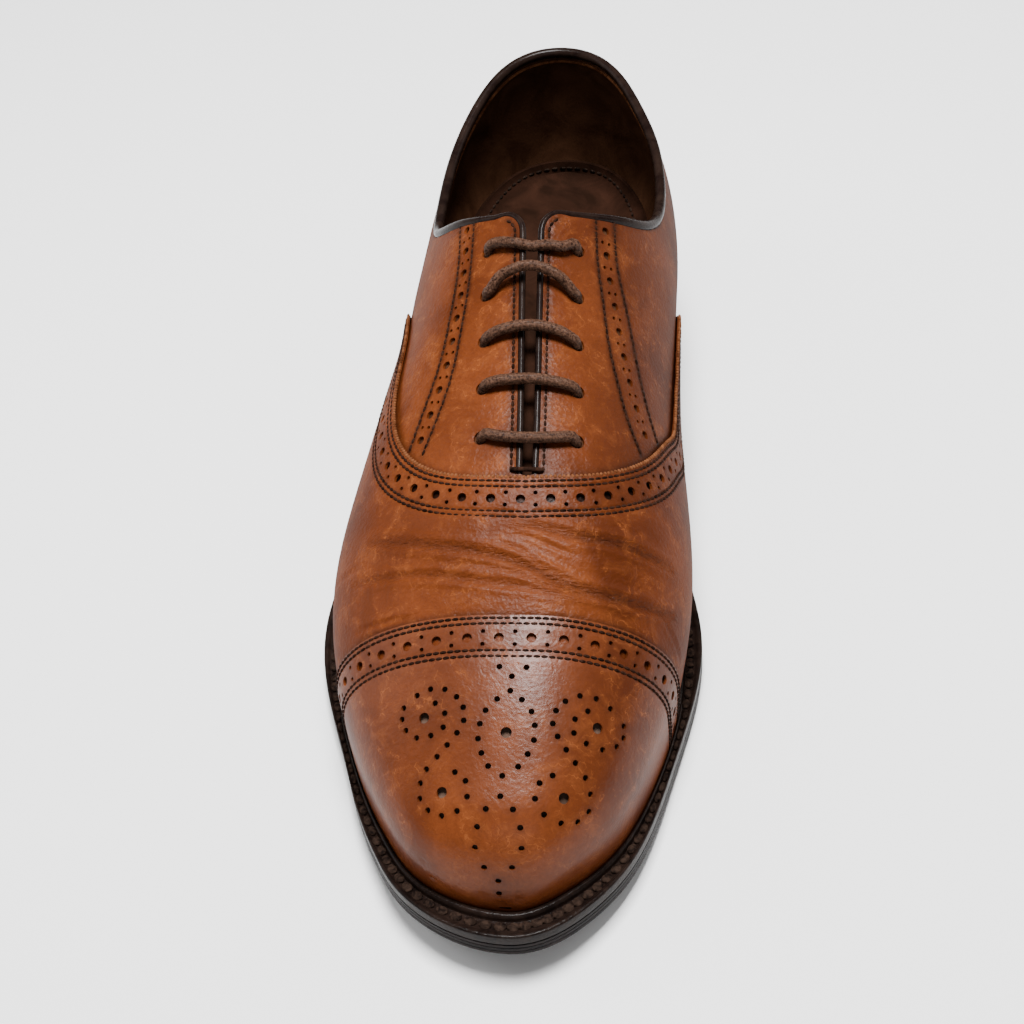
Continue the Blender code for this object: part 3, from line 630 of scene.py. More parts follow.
# %% Medallion
MEDALLION_AXIS = (251.0, -0.05)
MEDALLION_BIG = ((0.0, 264.1), (21.4, 259.1), (14.7, 277.3))
MEDALLION_MIDDLE = ((3.4, 248.0), (0.0, 250.4), (0.0, 254.0), (3.1, 256.1), (5.7, 258.8), (6.8, 262.0),
                    (6.9, 265.5), (5.7, 268.9), (3.7, 272.0), (0.0, 274.3), (0.0, 279.1), (3.3, 281.8),
                    (5.2, 285.0), (5.6, 288.1), (3.4, 290.7), (0.0, 292.2), (0.0, 293.3))
MEDALLION_SCROLL = ((27.2, 255.4), (24.0, 253.2), (20.6, 252.3), (16.8, 252.9), (13.5, 255.1), (11.5, 257.8),
                    (11.0, 261.0), (12.4, 263.8), (14.6, 266.4), (16.9, 268.8), (19.3, 271.2), (20.5, 274.0),
                    (20.2, 277.4), (17.8, 280.4), (14.2, 282.2), (10.4, 281.8), (8.2, 279.0), (9.0, 275.3),
                    (11.9, 273.0), (18.9, 256.0), (16.1, 258.8), (16.1, 262.1), (19.1, 263.6), (22.8, 263.4),
                    (25.9, 260.9), (27.3, 258.0))
DOT, LARGE_DOT = 0.79 * MM, 1.45 * MM


def medallion(chart, radius):
    spots = sorted({(side * across, along) for across, along in chart for side in (-1, 1)})
    across = np.array([s[0] for s in spots]) * MM
    along = np.array([s[1] for s in spots])
    across = across + MEDALLION_AXIS[1] * (along - MEDALLION_AXIS[0]) * MM
    u = station_of(along * MM)
    w = level_at(across, u)
    middle = spot(u, w, CAP_LIFT)
    out = unit(spot(u, w, CAP_LIFT + 1.0) - middle)
    ahead = unit(spot(u + 0.01, w, CAP_LIFT) - middle)
    return middle, ahead, out, radius


cap_holes += [medallion(MEDALLION_MIDDLE + MEDALLION_SCROLL, DOT), medallion(MEDALLION_BIG, LARGE_DOT)]
print("holes in the cap", sum(len(g[0]) for g in cap_holes))


# %% [markdown]
# ## Creases
# A worn vamp folds where the toes bend. The folds are soft troughs with a low ridge beside them, given as lines
# of places on the last: millimetres from the back, and a signed level.

# %% Creases of the vamp
CREASES = (
    # depth mm, width mm, places (along, level)
    (0.55, 1.9, ((207, -0.40), (213, -0.25), (217, -0.13), (219, -0.06), (221, -0.01), (223, 0.05),
                 (225, 0.10), (226, 0.17), (226, 0.24), (225, 0.33), (223, 0.42), (219, 0.54))),
    (0.35, 1.6, ((216, -0.46), (219, -0.36), (221, -0.27), (223, -0.18), (226, -0.07), (227, 0.0),
                 (228, 0.08), (228, 0.15))),
    (0.50, 1.9, ((211, 0.0), (212, 0.05), (213, 0.12), (213, 0.18), (212, 0.25), (211, 0.33),
                 (210, 0.40), (208, 0.50))),
    (0.22, 1.2, ((230, -0.46), (231, -0.37), (232, -0.30), (233, -0.24))),
    (0.28, 1.0, ((216, -0.05), (218, 0.0), (221, 0.05), (223, 0.10), (224, 0.15))),
    (0.26, 1.0, ((220, -0.14), (222, -0.06), (224, 0.0), (226, 0.06), (227.5, 0.14), (228, 0.22))),
    (0.22, 0.9, ((214, -0.02), (215, 0.04), (217, 0.10), (218, 0.16))),
    (0.20, 1.1, ((208, -0.62), (211, -0.50), (213, -0.42))),
    (0.22, 1.2, ((222, 0.46), (224, 0.56), (225, 0.66))),
)
SWELLS = (
    # height mm, width mm, places (along, level)
    (0.55, 5.0, ((216.5, 0.08), (218, 0.16), (218, 0.24), (217, 0.34))),
    (0.30, 5.0, ((210, -0.22), (211, -0.14), (213, -0.07))),
    (0.30, 4.5, ((229, -0.15), (231, -0.02), (231.5, 0.10), (231, 0.2))),
)


def crease_line(places):
    along = np.array([p[0] for p in places]) * MM
    level = np.array([p[1] for p in places])
    share = np.linspace(0.0, len(places) - 1.0, 12 * len(places))
    along = curve_value(along[:, None], curve_through(along[:, None]), share)[:, 0]
    level = curve_value(level[:, None], curve_through(level[:, None]), share)[:, 0]
    return spot(station_of(along), level), np.sin(share / share[-1] * math.pi) ** 0.45


FOLD_NARROW, FOLD_DEEP, RIDGE_HIGH, RIDGE_ASIDE, RIDGE_WIDE = 0.78, 1.7, 0.40, 1.7, 0.8


def fold_relief(points):
    relief = np.zeros(len(points))
    for depth, width, places in CREASES:
        line, fade = crease_line(places)
        gap, which = nearest(points, line)
        gap = gap / (FOLD_NARROW * width * MM)
        ridge = RIDGE_HIGH * np.exp(-((gap - RIDGE_ASIDE) / RIDGE_WIDE) ** 2)
        relief += FOLD_DEEP * depth * MM * fade[which] * (ridge - np.exp(-gap ** 2))
    for height, width, places in SWELLS:
        line, fade = crease_line(places)
        gap, which = nearest(points, line)
        relief += height * MM * fade[which] * np.exp(-(gap / (width * MM)) ** 2)
    return relief


def slow_waves(points, size, height):
    """Low uneven swelling of the leather, from a few crossed waves."""
    x, y, z = (points / size).T
    waves = np.sin(x * 1.7 + y * 0.9) + np.sin(y * 1.3 - z * 1.9 + 0.7) + np.sin(z * 1.1 + x * 2.3 + 2.1)
    return height * waves / 3.0


print("creases", len(CREASES), "swells", len(SWELLS))


# %% [markdown]
# ## Finishes
# The leather is dyed in thin coats that never cover evenly, so its colour wanders slowly, is darker in seams
# and has pale hairline scuffs. The folds are darker too, partly as wax and partly as painted shade. The grain
# is a fine bump. Each mesh carries a painted value for patina and painted shade, from 0 for open leather to 1
# in a seam, which the colour reads.

# %% Node helpers
def start_finish(name):
    made = bpy.data.materials.new(name)
    made.use_nodes = True
    tree = made.node_tree
    tree.nodes.clear()
    out = tree.nodes.new("ShaderNodeOutputMaterial")
    skin = tree.nodes.new("ShaderNodeBsdfPrincipled")
    tree.links.new(skin.outputs["BSDF"], out.inputs["Surface"])
    return made, tree, skin


def add_node(tree, kind, values=(), **settings):
    made = tree.nodes.new(kind)
    for key, value in settings.items():
        setattr(made, key, value)
    for key, value in values:
        if isinstance(value, bpy.types.NodeSocket):
            tree.links.new(value, made.inputs[key])
        else:
            made.inputs[key].default_value = value
    return made


def noise(tree, where, scale, detail=3.0, distortion=0.0, roughness=0.5):
    made = add_node(tree, "ShaderNodeTexNoise", (("Vector", where), ("Scale", scale), ("Detail", detail),
                                                 ("Roughness", roughness), ("Distortion", distortion)))
    return made.outputs["Fac"]


def spread(tree, value, low, high, to_low=0.0, to_high=1.0):
    made = add_node(tree, "ShaderNodeMapRange", (("Value", value), ("From Min", low), ("From Max", high),
                                                 ("To Min", to_low), ("To Max", to_high)), clamp=True)
    return made.outputs["Result"]


def blend_colours(tree, share, first, second, kind="MIX"):
    made = tree.nodes.new("ShaderNodeMix")
    made.data_type = "RGBA"
    made.blend_type = kind
    for socket, value in (("Factor_Float", share), ("A_Color", first), ("B_Color", second)):
        target = next(s for s in made.inputs if s.identifier == socket)
        if isinstance(value, bpy.types.NodeSocket):
            tree.links.new(value, target)
        else:
            target.default_value = (*value, 1.0) if isinstance(value, tuple) else value
    return next(s for s in made.outputs if s.identifier == "Result_Color")


def arithmetic(tree, operation, first, second):
    made = tree.nodes.new("ShaderNodeMath")
    made.operation = operation
    for target, value in zip(made.inputs, (first, second)):
        if isinstance(value, bpy.types.NodeSocket):
            tree.links.new(value, target)
        else:
            target.default_value = value
    return made.outputs[0]


def bump(tree, height, strength, distance, under=None):
    values = [("Height", height), ("Strength", strength), ("Distance", distance)]
    if under is not None:
        values.append(("Normal", under))
    return add_node(tree, "ShaderNodeBump", values).outputs["Normal"]


# %% [markdown]
# Burnished leather has two colours in one skin: a pale body, and darker dye that the polishing cloth
# left in patches. One noise could do both, but then patches and pores would have the same size, so
# a slow, a middle and a fine noise are mixed. The wax is a thin coat over the skin, because a coat
# keeps a soft shine at every angle, where a strong reflection of the skin itself turns grey at the sides.

# %% Dyed leather
def dyed_leather(name, pale, body, deep, seam, rough, grain=1.0, coat=0.13):
    made, tree, skin = start_finish(name)
    where = add_node(tree, "ShaderNodeTexCoord").outputs["Object"]
    patina_and_shade = add_node(tree, "ShaderNodeAttribute", attribute_name="patina_and_shade").outputs["Fac"]
    slow = noise(tree, where, 26.0, 4.0, 0.6)
    blotch = noise(tree, where, 120.0, 6.0, 0.9, 0.66)
    fine = noise(tree, where, 700.0, 5.0, 1.2, 0.62)
    colour = blend_colours(tree, spread(tree, slow, 0.36, 0.66), deep, body)
    colour = blend_colours(tree, spread(tree, blotch, 0.50, 0.76, 0.0, 0.45), colour, pale)
    colour = blend_colours(tree, spread(tree, blotch, 0.44, 0.26, 0.0, 0.40), colour, deep)
    speck = spread(tree, fine, 0.36, 0.62, 0.35, 0.0)
    colour = blend_colours(tree, speck, colour, deep)
    hair = add_node(tree, "ShaderNodeTexWave", (("Vector", where), ("Scale", 45.0), ("Distortion", 26.0),
                                                ("Detail", 4.0), ("Detail Scale", 2.4)),
                    wave_type="BANDS", bands_direction="DIAGONAL").outputs["Fac"]
    hair = arithmetic(tree, "MULTIPLY", spread(tree, hair, 0.965, 1.0), spread(tree, blotch, 0.48, 0.60))
    colour = blend_colours(tree, arithmetic(tree, "MULTIPLY", hair, 0.5), colour, pale)
    # The painted value darkens towards the seam tone: dark wax in the seams, and painted shade in the folds,
    # under the vamp's band and on the inner side.
    colour = blend_colours(tree, patina_and_shade, colour, seam)
    tree.links.new(colour, skin.inputs["Base Color"])
    rough_now = spread(tree, blotch, 0.3, 0.7, rough - 0.06, rough + 0.07)
    tree.links.new(rough_now, skin.inputs["Roughness"])
    cells = add_node(tree, "ShaderNodeTexVoronoi", (("Vector", where), ("Scale", 900.0)),
                     feature="F1").outputs["Distance"]
    fold = add_node(tree, "ShaderNodeAttribute", attribute_name="fold").outputs["Fac"]
    drawn = add_node(tree, "ShaderNodeMapping", (("Vector", where), ("Rotation", (0.0, 0.0, -0.16)),
                                                 ("Scale", (240.0, 1300.0, 700.0)))).outputs["Vector"]
    wrinkles = arithmetic(tree, "MULTIPLY", noise(tree, drawn, 1.0, 4.0, 0.7, 0.55), fold)
    normal = bump(tree, wrinkles, 0.9, 0.0011)
    normal = bump(tree, noise(tree, where, 260.0, 6.0, 2.2, 0.6), 0.72 * grain, 0.00030, normal)
    normal = bump(tree, cells, 0.40 * grain, 0.00020, normal)
    normal = bump(tree, fine, 0.45 * grain, 0.00020, normal)
    tree.links.new(normal, skin.inputs["Normal"])
    skin.inputs["Coat Weight"].default_value = coat
    skin.inputs["Coat Roughness"].default_value = 0.30
    skin.inputs["Specular IOR Level"].default_value = 0.0
    tree.links.new(normal, skin.inputs["Coat Normal"])
    return made


# %% [markdown]
# Thread, cloth, rubber and the dark edges need far less. They share one recipe of two tones and one
# bump, so each of them is a single line of colours and sizes.

# %% Plainer finishes
def plain_finish(name, dark, light, scale, rough, bump_scale, bump_depth, coat=0.0, stretch=(1.0, 1.0, 1.0)):
    """A plainer finish: two tones that wander, and one bump."""
    made, tree, skin = start_finish(name)
    where = add_node(tree, "ShaderNodeTexCoord").outputs["Object"]
    where = add_node(tree, "ShaderNodeMapping", (("Vector", where), ("Scale", stretch))).outputs["Vector"]
    wander = noise(tree, where, scale, 5.0, 0.8, 0.6)
    colour = blend_colours(tree, spread(tree, wander, 0.36, 0.66), dark, light)
    tree.links.new(colour, skin.inputs["Base Color"])
    tree.links.new(spread(tree, wander, 0.3, 0.7, rough - 0.07, rough + 0.07), skin.inputs["Roughness"])
    relief = noise(tree, where, bump_scale, 5.0, 0.6, 0.6)
    normal = bump(tree, relief, 0.5, bump_depth)
    tree.links.new(normal, skin.inputs["Normal"])
    tree.links.new(normal, skin.inputs["Coat Normal"])
    skin.inputs["Coat Weight"].default_value = coat
    skin.inputs["Coat Roughness"].default_value = 0.2
    skin.inputs["Specular IOR Level"].default_value = 0.01
    return made


# The last tone darkens the seams, and it is also the colour of the painted shade.
TAN = ((0.225, 0.065, 0.0180), (0.125, 0.0305, 0.0080), (0.060, 0.0135, 0.0038), (0.009, 0.0035, 0.002))
tan_leather = dyed_leather("tan_leather", *TAN, 0.44)
cap_leather = dyed_leather("tan_cap_leather", *TAN, 0.40, 0.42, 0.30)
lining_leather = plain_finish("lining_leather", (0.030, 0.012, 0.006), (0.070, 0.030, 0.015),
                              60.0, 0.75, 900.0, 0.0002)
stiffener_cloth = plain_finish("stiffener_cloth", (0.045, 0.026, 0.018), (0.11, 0.068, 0.050),
                               90.0, 0.9, 900.0, 0.0002)
raw_edge = plain_finish("raw_leather_edge", (0.055, 0.018, 0.007), (0.17, 0.065, 0.028),
                        300.0, 0.7, 1500.0, 0.0002)
dark_leather = plain_finish("dark_piping_leather", (0.006, 0.003, 0.0025), (0.014, 0.008, 0.006),
                            160.0, 0.28, 1100.0, 0.00012, 0.11)
welt_leather = plain_finish("welt_leather", (0.005, 0.003, 0.0025), (0.014, 0.008, 0.006),
                            220.0, 0.36, 800.0, 0.0003, 0.12)
sole_edge = plain_finish("inked_sole_edge", (0.004, 0.003, 0.003), (0.016, 0.011, 0.010),
                         120.0, 0.40, 500.0, 0.0003, 0.08, (1.0, 1.0, 4.0))
rubber = plain_finish("rubber_lift", (0.010, 0.009, 0.009), (0.022, 0.020, 0.019),
                      300.0, 0.7, 2000.0, 0.0002)
insole_leather = plain_finish("insole_leather", (0.011, 0.005, 0.0030), (0.024, 0.010, 0.006),
                              70.0, 0.85, 700.0, 0.0003)
dark_thread = plain_finish("dark_thread", (0.006, 0.003, 0.002), (0.030, 0.013, 0.008),
                           500.0, 0.6, 4000.0, 0.0001)
welt_thread = plain_finish("welt_thread", (0.005, 0.003, 0.0025), (0.030, 0.018, 0.013),
                           600.0, 0.6, 2600.0, 0.0003)
print("finishes", len(bpy.data.materials))


# %% [markdown]
# The dark wax in seams and round holes could be a second noise, but a noise doesn't know where a seam is. So
# each corner of a panel gets a value, worked out from its distance to the seams, and the finish reads that
# value by its name. The same value also carries painted shade in the folds, under the vamp's band and on the
# inner side.

# %% Painted patina and shade
def paint_corner_value(piece, paint, name="patina_and_shade"):
    mesh = piece.data
    spots = np.zeros(len(mesh.vertices) * 3, np.float32)
    mesh.vertices.foreach_get("co", spots)
    values = np.clip(paint(spots.reshape(-1, 3).astype(float)), 0.0, 1.0)
    layer = mesh.attributes.get(name) or mesh.attributes.new(name, "FLOAT", "POINT")
    layer.data.foreach_set("value", values.astype(np.float32))


def soft_spot(points, centre, radius):
    return np.exp(-((points - np.array(centre)) ** 2).sum(1) / radius ** 2)


# %% [markdown]
# ## The quarters
# Two quarters wrap the heel and carry the lace holes. They are one sheet each, joined at the back.
# The sheet runs on under the vamp, and its upper edge follows the collar and the facing.

# %% Stitched strip beside the facings
STRIPS = {
    # places (along mm, level): outer line, inner line
    -1: (((108, 0.695), (121, 0.715), (136, 0.727), (151, 0.734), (162, 0.728), (173, 0.709), (183, 0.690)),
         ((110, 0.754), (125, 0.768), (140, 0.780), (154, 0.783), (165, 0.780), (176, 0.762), (187, 0.735))),
    1: (((109, 0.703), (123, 0.689), (133, 0.660), (144, 0.630), (155, 0.605), (164, 0.578), (170, 0.550)),
        ((113, 0.766), (128, 0.756), (138, 0.740), (151, 0.725), (162, 0.704), (172, 0.678), (180, 0.635))),
}
STRIP_PITCH = 7.7 * MM
STRIP_BIG, STRIP_SMALL, STRIP_ASIDE = 1.28 * MM, 0.58 * MM, 1.25 * MM


def drawn_line(side, places):
    share = np.linspace(0.0, len(places) - 1.0, 90)
    along = np.array([[p[0] * MM] for p in places])
    level = np.array([[p[1]] for p in places])
    along = curve_value(along, curve_through(along), share)[:, 0]
    level = curve_value(level, curve_through(level), share)[:, 0]
    return station_of(along), side * (1.0 - level)


strip_rows = {side: [drawn_line(side, places) for places in STRIPS[side]] for side in (-1, 1)}
strip_holes = {}
for side, (outer, inner) in strip_rows.items():
    centre = ((outer[0] + inner[0]) / 2.0, (outer[1] + inner[1]) / 2.0)
    strip_holes[side] = band_holes(centre, 0.0, STRIP_PITCH, STRIP_BIG, STRIP_SMALL, STRIP_ASIDE)
    print("strip", side, "holes", [len(g[0]) for g in strip_holes[side]])


def lace_hole_places(side):
    along = HOLE_FIRST * UPPER_LENGTH + HOLE_PITCH * np.arange(HOLE_ROWS)
    u = station_of(along)
    w = level_at(np.full(HOLE_ROWS, side * HOLE_SIDE), u)
    middle = spot(u, w)
    return middle, unit(spot(u + 0.01, w) - middle), unit(spot(u, w, 1.0) - middle), EYELET / 2.0 - 0.2 * MM


def facing_row(side, aside):
    """Line beside the throat at a fixed distance from the facing's edge."""
    along = np.linspace(FACING_TOP * UPPER_LENGTH + 1.5 * MM, THROAT * UPPER_LENGTH - 0.4 * MM, 200)
    u = station_of(along)
    return u, level_at(side * (half_gap(along) + aside), u)


# %% [markdown]
# Thread pulls the leather down and a punch presses its rim in. A bump would only shade those dents,
# so they are moved into the sheet before it gets its wall, and the holes are cut after that.

# %% Quarters
QUARTER_THICK = 0.9 * MM
QUARTER_END = 0.212
FACING_ROW = 1.3 * MM
ROW_DENT, ROW_WIDE = 0.22 * MM, 0.45 * MM
HOLE_DENT, HOLE_WIDE = 0.12 * MM, 0.9 * MM
ALONG_KNOTS = ((0.0, 0.0), (0.40, FIRST), (0.53, station_of(0.110)), (0.68, station_of(0.126)),
               (1.0, station_of(QUARTER_END)))


def quarter_station(p):
    return np.interp(p, [k[0] for k in ALONG_KNOTS], [k[1] for k in ALONG_KNOTS])


def make_quarter(side):
    columns = quarter_station(np.linspace(0.0, 1.0, 1501))
    top = rim_around(side, columns)
    lines = [spot(*line) for line in strip_rows[side]] + [spot(*facing_row(side, FACING_ROW))]
    lines = np.concatenate(lines)
    dents = np.concatenate([g[0] for g in strip_holes[side]])
    holes = lace_hole_places(side)
    ring = np.arange(24) * math.pi / 12.0
    across = np.cross(holes[2], holes[1])
    rims = np.concatenate([holes[0] + (holes[1] * math.cos(a) + across * math.sin(a)) * holes[3] for a in ring])

    def lay(p, q):
        u = quarter_station(p)
        v = q * np.interp(u, columns, top)
        w = side * (1.0 - v)
        flat = spot(u, w)
        relief = hollow(flat, lines, ROW_DENT, ROW_WIDE) + hollow(flat, dents, HOLE_DENT, HOLE_WIDE)
        relief += hollow(flat, rims, 0.30 * MM, 0.8 * MM) + slow_waves(flat, 0.011, 0.12 * MM)
        relief += -0.35 * MM * np.exp(-(u / 0.05) ** 2) * smooth_step((0.97 - q) / 0.1)
        return flat + outwards(u, w) * relief[:, None]
    work = face_outwards(bent_grid(230, 104, lay), (0.0, 0.03, 0.05))
    quarter = add_piece("quarter_outer" if side < 0 else "quarter_inner", work, tan_leather, ["upper"])
    return give_wall(quarter, QUARTER_THICK, punches(strip_holes[side] + [holes], 6.0 * MM))


quarters = [make_quarter(side) for side in (-1, 1)]

# %% [markdown]
# ## The vamp
# The vamp lies over the quarters and under the cap. Its edge is thinned, so it comes down to the quarter, and
# it dips again where it goes under the cap. The creases are moved in here.

# %% Vamp
CAP_UNDERLAP = 13.5 * MM
LAYER_THICK = 0.85 * MM
cap_under = walk_aside(*cap_line, CAP_UNDERLAP)
vamp_rows_spots = np.concatenate([spot(*line) for line in vamp_rows])
vamp_dents = [np.concatenate([g[0] for g in vamp_holes if g[3] > MM]),
              np.concatenate([g[0] for g in vamp_holes if g[3] < MM])]


def make_vamp():
    def lay(p, q):
        w = 2.0 * p - 1.0
        back = edge_station(VAMP_EDGE, w)
        middle = edge_station(CAP_EDGE, w)
        front = np.maximum(np.interp(w, cap_under[1], cap_under[0]), middle + 0.5)
        share = q / 0.86
        under = (share - 1.0) * 0.86 / 0.14
        u = np.where(share < 1.0, back + (middle - back) * share, middle + (front - middle) * under)
        flat = spot(u, w)
        edge_gap = np.abs(nearest(flat, spot(*vamp_line))[0])
        lift = VAMP_LIFT - 0.25 * MM * (1.0 - smooth_step(edge_gap / (1.3 * MM)))
        lift = lift - 0.5 * MM * smooth_step((u - middle) / 0.12)
        lift += hollow(flat, vamp_rows_spots, 0.24 * MM, 0.5 * MM)
        lift += hollow(flat, vamp_dents[0], 0.16 * MM, 1.6 * MM)
        lift += hollow(flat, vamp_dents[1], HOLE_DENT, HOLE_WIDE)
        lift += slow_waves(flat, 0.012, 0.15 * MM) + fold_relief(flat) * smooth_step((middle + 0.05 - u) / 0.1)
        return flat + outwards(u, w) * lift[:, None]
    work = face_outwards(bent_grid(250, 150, lay), (0.0, -0.05, 0.03))
    vamp = add_piece("vamp", work, tan_leather, ["vamp_panel"])
    return give_wall(vamp, LAYER_THICK, punches(vamp_holes, 5.0 * MM))


vamp = make_vamp()

# %% [markdown]
# ## The toe cap
# The cap is the stiffest and smoothest part, with the highest polish. It carries its own brogued
# band and the medallion, and has a few nicks near the toe.

# %% Toe cap
cap_rows_spots = np.concatenate([spot(*line) for line in cap_rows])
cap_dents = {radius: np.concatenate([g[0] for g in cap_holes if g[3] == radius])
             for radius in {g[3] for g in cap_holes}}
NICKS = (
    # depth mm, radius mm, across mm, along mm
    (0.35, 0.8, -19.5, 289.0), (0.25, 0.7, -20.5, 287.2), (0.22, 0.9, -1.6, 294.0), (0.16, 1.4, 2.4, 293.6),
    (0.16, 1.5, -6.0, 293.4),
)


def towards_toe(q):
    """Rows lie closer together at the toe, where the surface turns fastest."""
    return 1.0 - (1.0 - q) ** 1.12


def make_cap():
    def lay(p, q):
        w = 2.0 * p - 1.0
        back = edge_station(CAP_EDGE, w)
        u = back + (TIP - back) * towards_toe(q)
        flat = spot(u, w)
        edge_gap = nearest(flat, spot(*cap_line))[0]
        lift = CAP_LIFT - 0.30 * MM * (1.0 - smooth_step(edge_gap / (1.0 * MM)))
        lift += hollow(flat, cap_rows_spots, 0.22 * MM, 0.5 * MM)
        for radius, dents in cap_dents.items():
            lift += hollow(flat, dents, 0.10 * MM * radius / MM, radius * 1.35)
        for depth, radius, across, along in NICKS:
            u_nick = station_of(along * MM)
            centre = spot(u_nick, level_at(across * MM, u_nick))
            lift += -depth * MM * np.exp(-((flat - centre) ** 2).sum(1) / (radius * MM) ** 2)
        lift += slow_waves(flat, 0.014, 0.10 * MM)
        return flat + outwards(u, w) * lift[:, None]
    work = face_outwards(bent_grid(250, 120, lay), (0.0, -0.11, 0.02))
    cap = add_piece("toe_cap_leather", work, cap_leather, ["toe_cap"])
    return give_wall(cap, LAYER_THICK, punches(cap_holes, 5.0 * MM))


cap = make_cap()

# %% [markdown]
# ## Lining and toe stiffener
# The inside is lined, and a stiff layer between cap and lining keeps the toe round. They also close
# the bottoms of the punched holes, which is why those look dark.

# %% Lining and stiffener
LINING_END = FIRST + 6.2


def make_lining():
    def lay(p, q):
        side = np.where(p < 0.5, -1.0, 1.0)
        u = np.abs(2.0 * p - 1.0) * LINING_END
        tops = [np.interp(u, columns, rim_around(s, columns)) for s in (-1, 1)]
        v = q * np.where(side < 0.0, tops[0], tops[1])
        return spot(u, np.where(side < 0.0, v - 1.0, 1.0 - v), -1.05 * MM)
    columns = np.linspace(0.0, LINING_END, 1201)
    work = face_outwards(bent_grid(260, 46, lay), (0.0, 0.03, 0.05))
    return give_wall(add_piece("lining", work, lining_leather, ["upper"]), 0.95 * MM)


def make_stiffener():
    def lay(p, q):
        w = 2.0 * p - 1.0
        u = start + (TIP - start) * towards_toe(q)
        return spot(u, w, 0.35 * MM)
    start = station_of(QUARTER_END)
    work = face_outwards(bent_grid(110, 60, lay), (0.0, -0.11, 0.02))
    return give_wall(add_piece("toe_stiffener", work, stiffener_cloth, ["upper"]), 1.2 * MM)


make_lining()
make_stiffener()


# %% [markdown]
# ## Rows of stitches
# A stitch is a short thick thread that dips into the leather at both ends. One is made from a round
# rod with drawn in ends, and is copied along every guide line.

# %% Stitches
def stitch_shape():
    """One stitch, a millimetre long and a millimetre thick, before it is stretched."""
    work = bmesh.new()
    bmesh.ops.create_uvsphere(work, u_segments=6, v_segments=6, radius=0.5)
    bmesh.ops.rotate(work, verts=work.verts, cent=(0, 0, 0), matrix=Matrix.Rotation(math.pi / 2.0, 3, "Y"))
    return indexed(work)


def sew(lines, lift, pitch, length, thick, name, finish, slot, nodes):
    made = []
    for u, w in lines:
        middle, ahead, out = even_steps(u, w, pitch, 0.5, lift)
        made.append(frames(middle, ahead, out, (length, thick, thick)))
    work = copies(stitch_shape(), np.concatenate(made))
    print(name, sum(len(m) for m in made), "stitches")
    return add_piece(name, work, finish, nodes, 80.0)


# %% [markdown]
# The vamp's edge is pinked: cut in small teeth, whose raw leather stays pale. Teeth cut into the sheet
# would need a very fine grid along the whole edge, so each tooth is a small rounded piece set on it.

# %% Pinked edge of the vamp
def gimped_edge():
    u, w = trim(walk_aside(*vamp_line, 0.15 * MM), -0.985, 0.985)
    middle, ahead, out = even_steps(u, w, 1.2 * MM, 0.5, VAMP_LIFT - 0.40 * MM)
    work = copies(stitch_shape(), frames(middle, ahead, out, (1.05 * MM, 1.4 * MM, 0.95 * MM)))
    print("teeth", len(middle))
    return add_piece("gimped_edge", work, raw_edge, [], 80.0)


gimped_edge()

# %% [markdown]
# The same thread runs in four rows along each band of the vamp and the cap, in two rows along each
# side strip and in one row beside each facing. The lines are the ones that the dents were made from,
# so every stitch lies in its dent.

# %% Rows on vamp, cap and quarters
STITCH = dict(pitch=2.0 * MM, length=1.9 * MM, thick=0.92 * MM)
quarter_rows = [line for side in (-1, 1) for line in strip_rows[side]]
quarter_rows += [facing_row(side, FACING_ROW) for side in (-1, 1)]
sew(vamp_rows, VAMP_LIFT - 0.20 * MM, name="vamp_stitches", finish=dark_thread, slot="vamp_panel",
    nodes=[], **STITCH)
sew(cap_rows, CAP_LIFT - 0.18 * MM, name="cap_stitches", finish=dark_thread, slot="toe_cap",
    nodes=[], **STITCH)
sew(quarter_rows, -0.16 * MM, name="quarter_stitches", finish=dark_thread, slot="upper",
    nodes=[], **STITCH)

# %% [markdown]
# A bar tack is a short thick bar of thread that holds the two facings together at the foot of the
# throat, where they would tear. One bent rod would do, but a few overlapping stitches look sewn.

# %% Bar tack
def bar_tack():
    across = np.linspace(-3.2, 3.2, 7) * MM
    u = station_of(np.full(7, THROAT * UPPER_LENGTH - 0.9 * MM))
    middle = spot(u, level_at(across, u), 0.55 * MM)
    ahead = np.broadcast_to((1.0, 0.0, 0.0), middle.shape)
    out = unit(spot(u, level_at(across, u), 1.0) - middle)
    work = copies(stitch_shape(), frames(middle, ahead, out, (2.6 * MM, 1.5 * MM, 1.2 * MM)))
    print("bar tack", len(middle), "stitches")
    return add_piece("bar_tack", work, dark_thread, [], 80.0)


bar_tack()


# %% [markdown]
# The quarters meet in a seam down the middle of the heel, with a row of stitches on each side. It
# isn't in the photo, and this is the usual way to close a heel. The seam itself is painted later.

# %% Back seam
BACK_ASIDE = 1.7


def back_line():
    """The seam down the middle of the heel, from just above the welt to just below the piping."""
    top = rim_around(1, np.array([0.0]))[0]
    return spot(np.zeros(200), 1.0 - np.linspace(0.04, top - 0.035, 200))


def back_seam():
    line = back_line()
    run = run_length(line)
    at = np.arange(1.5 * MM, run[-1] - 1.5 * MM, 2.0 * MM)
    middle = np.stack([np.interp(at, run, line[:, k]) for k in range(3)], -1)
    ahead = unit(np.stack([np.interp(at + MM, run, line[:, k]) - np.interp(at - MM, run, line[:, k])
                           for k in range(3)], -1))
    out = unit(np.cross(ahead, np.broadcast_to((-1.0, 0.0, 0.0), ahead.shape)))
    out *= np.sign(out[:, 1:2])
    size = (1.9 * MM, 0.85 * MM, 0.85 * MM)
    made = [frames(middle - out * 0.16 * MM + (aside * MM, 0.0, 0.0), ahead, out, size)
            for aside in (-BACK_ASIDE, BACK_ASIDE)]
    print("back seam", sum(len(m) for m in made), "stitches")
    return add_piece("back_seam", copies(stitch_shape(), np.concatenate(made)), dark_thread, [], 80.0)


back_seam()


# %% [markdown]
# ## Round pieces: piping and laces
# A cord is a tube laid along a path. A grid is rolled round the path, so the twist of the yarn can
# be moved in with the same step. The frame of each ring follows from the one before, which keeps
# the cord from turning over in a bend.

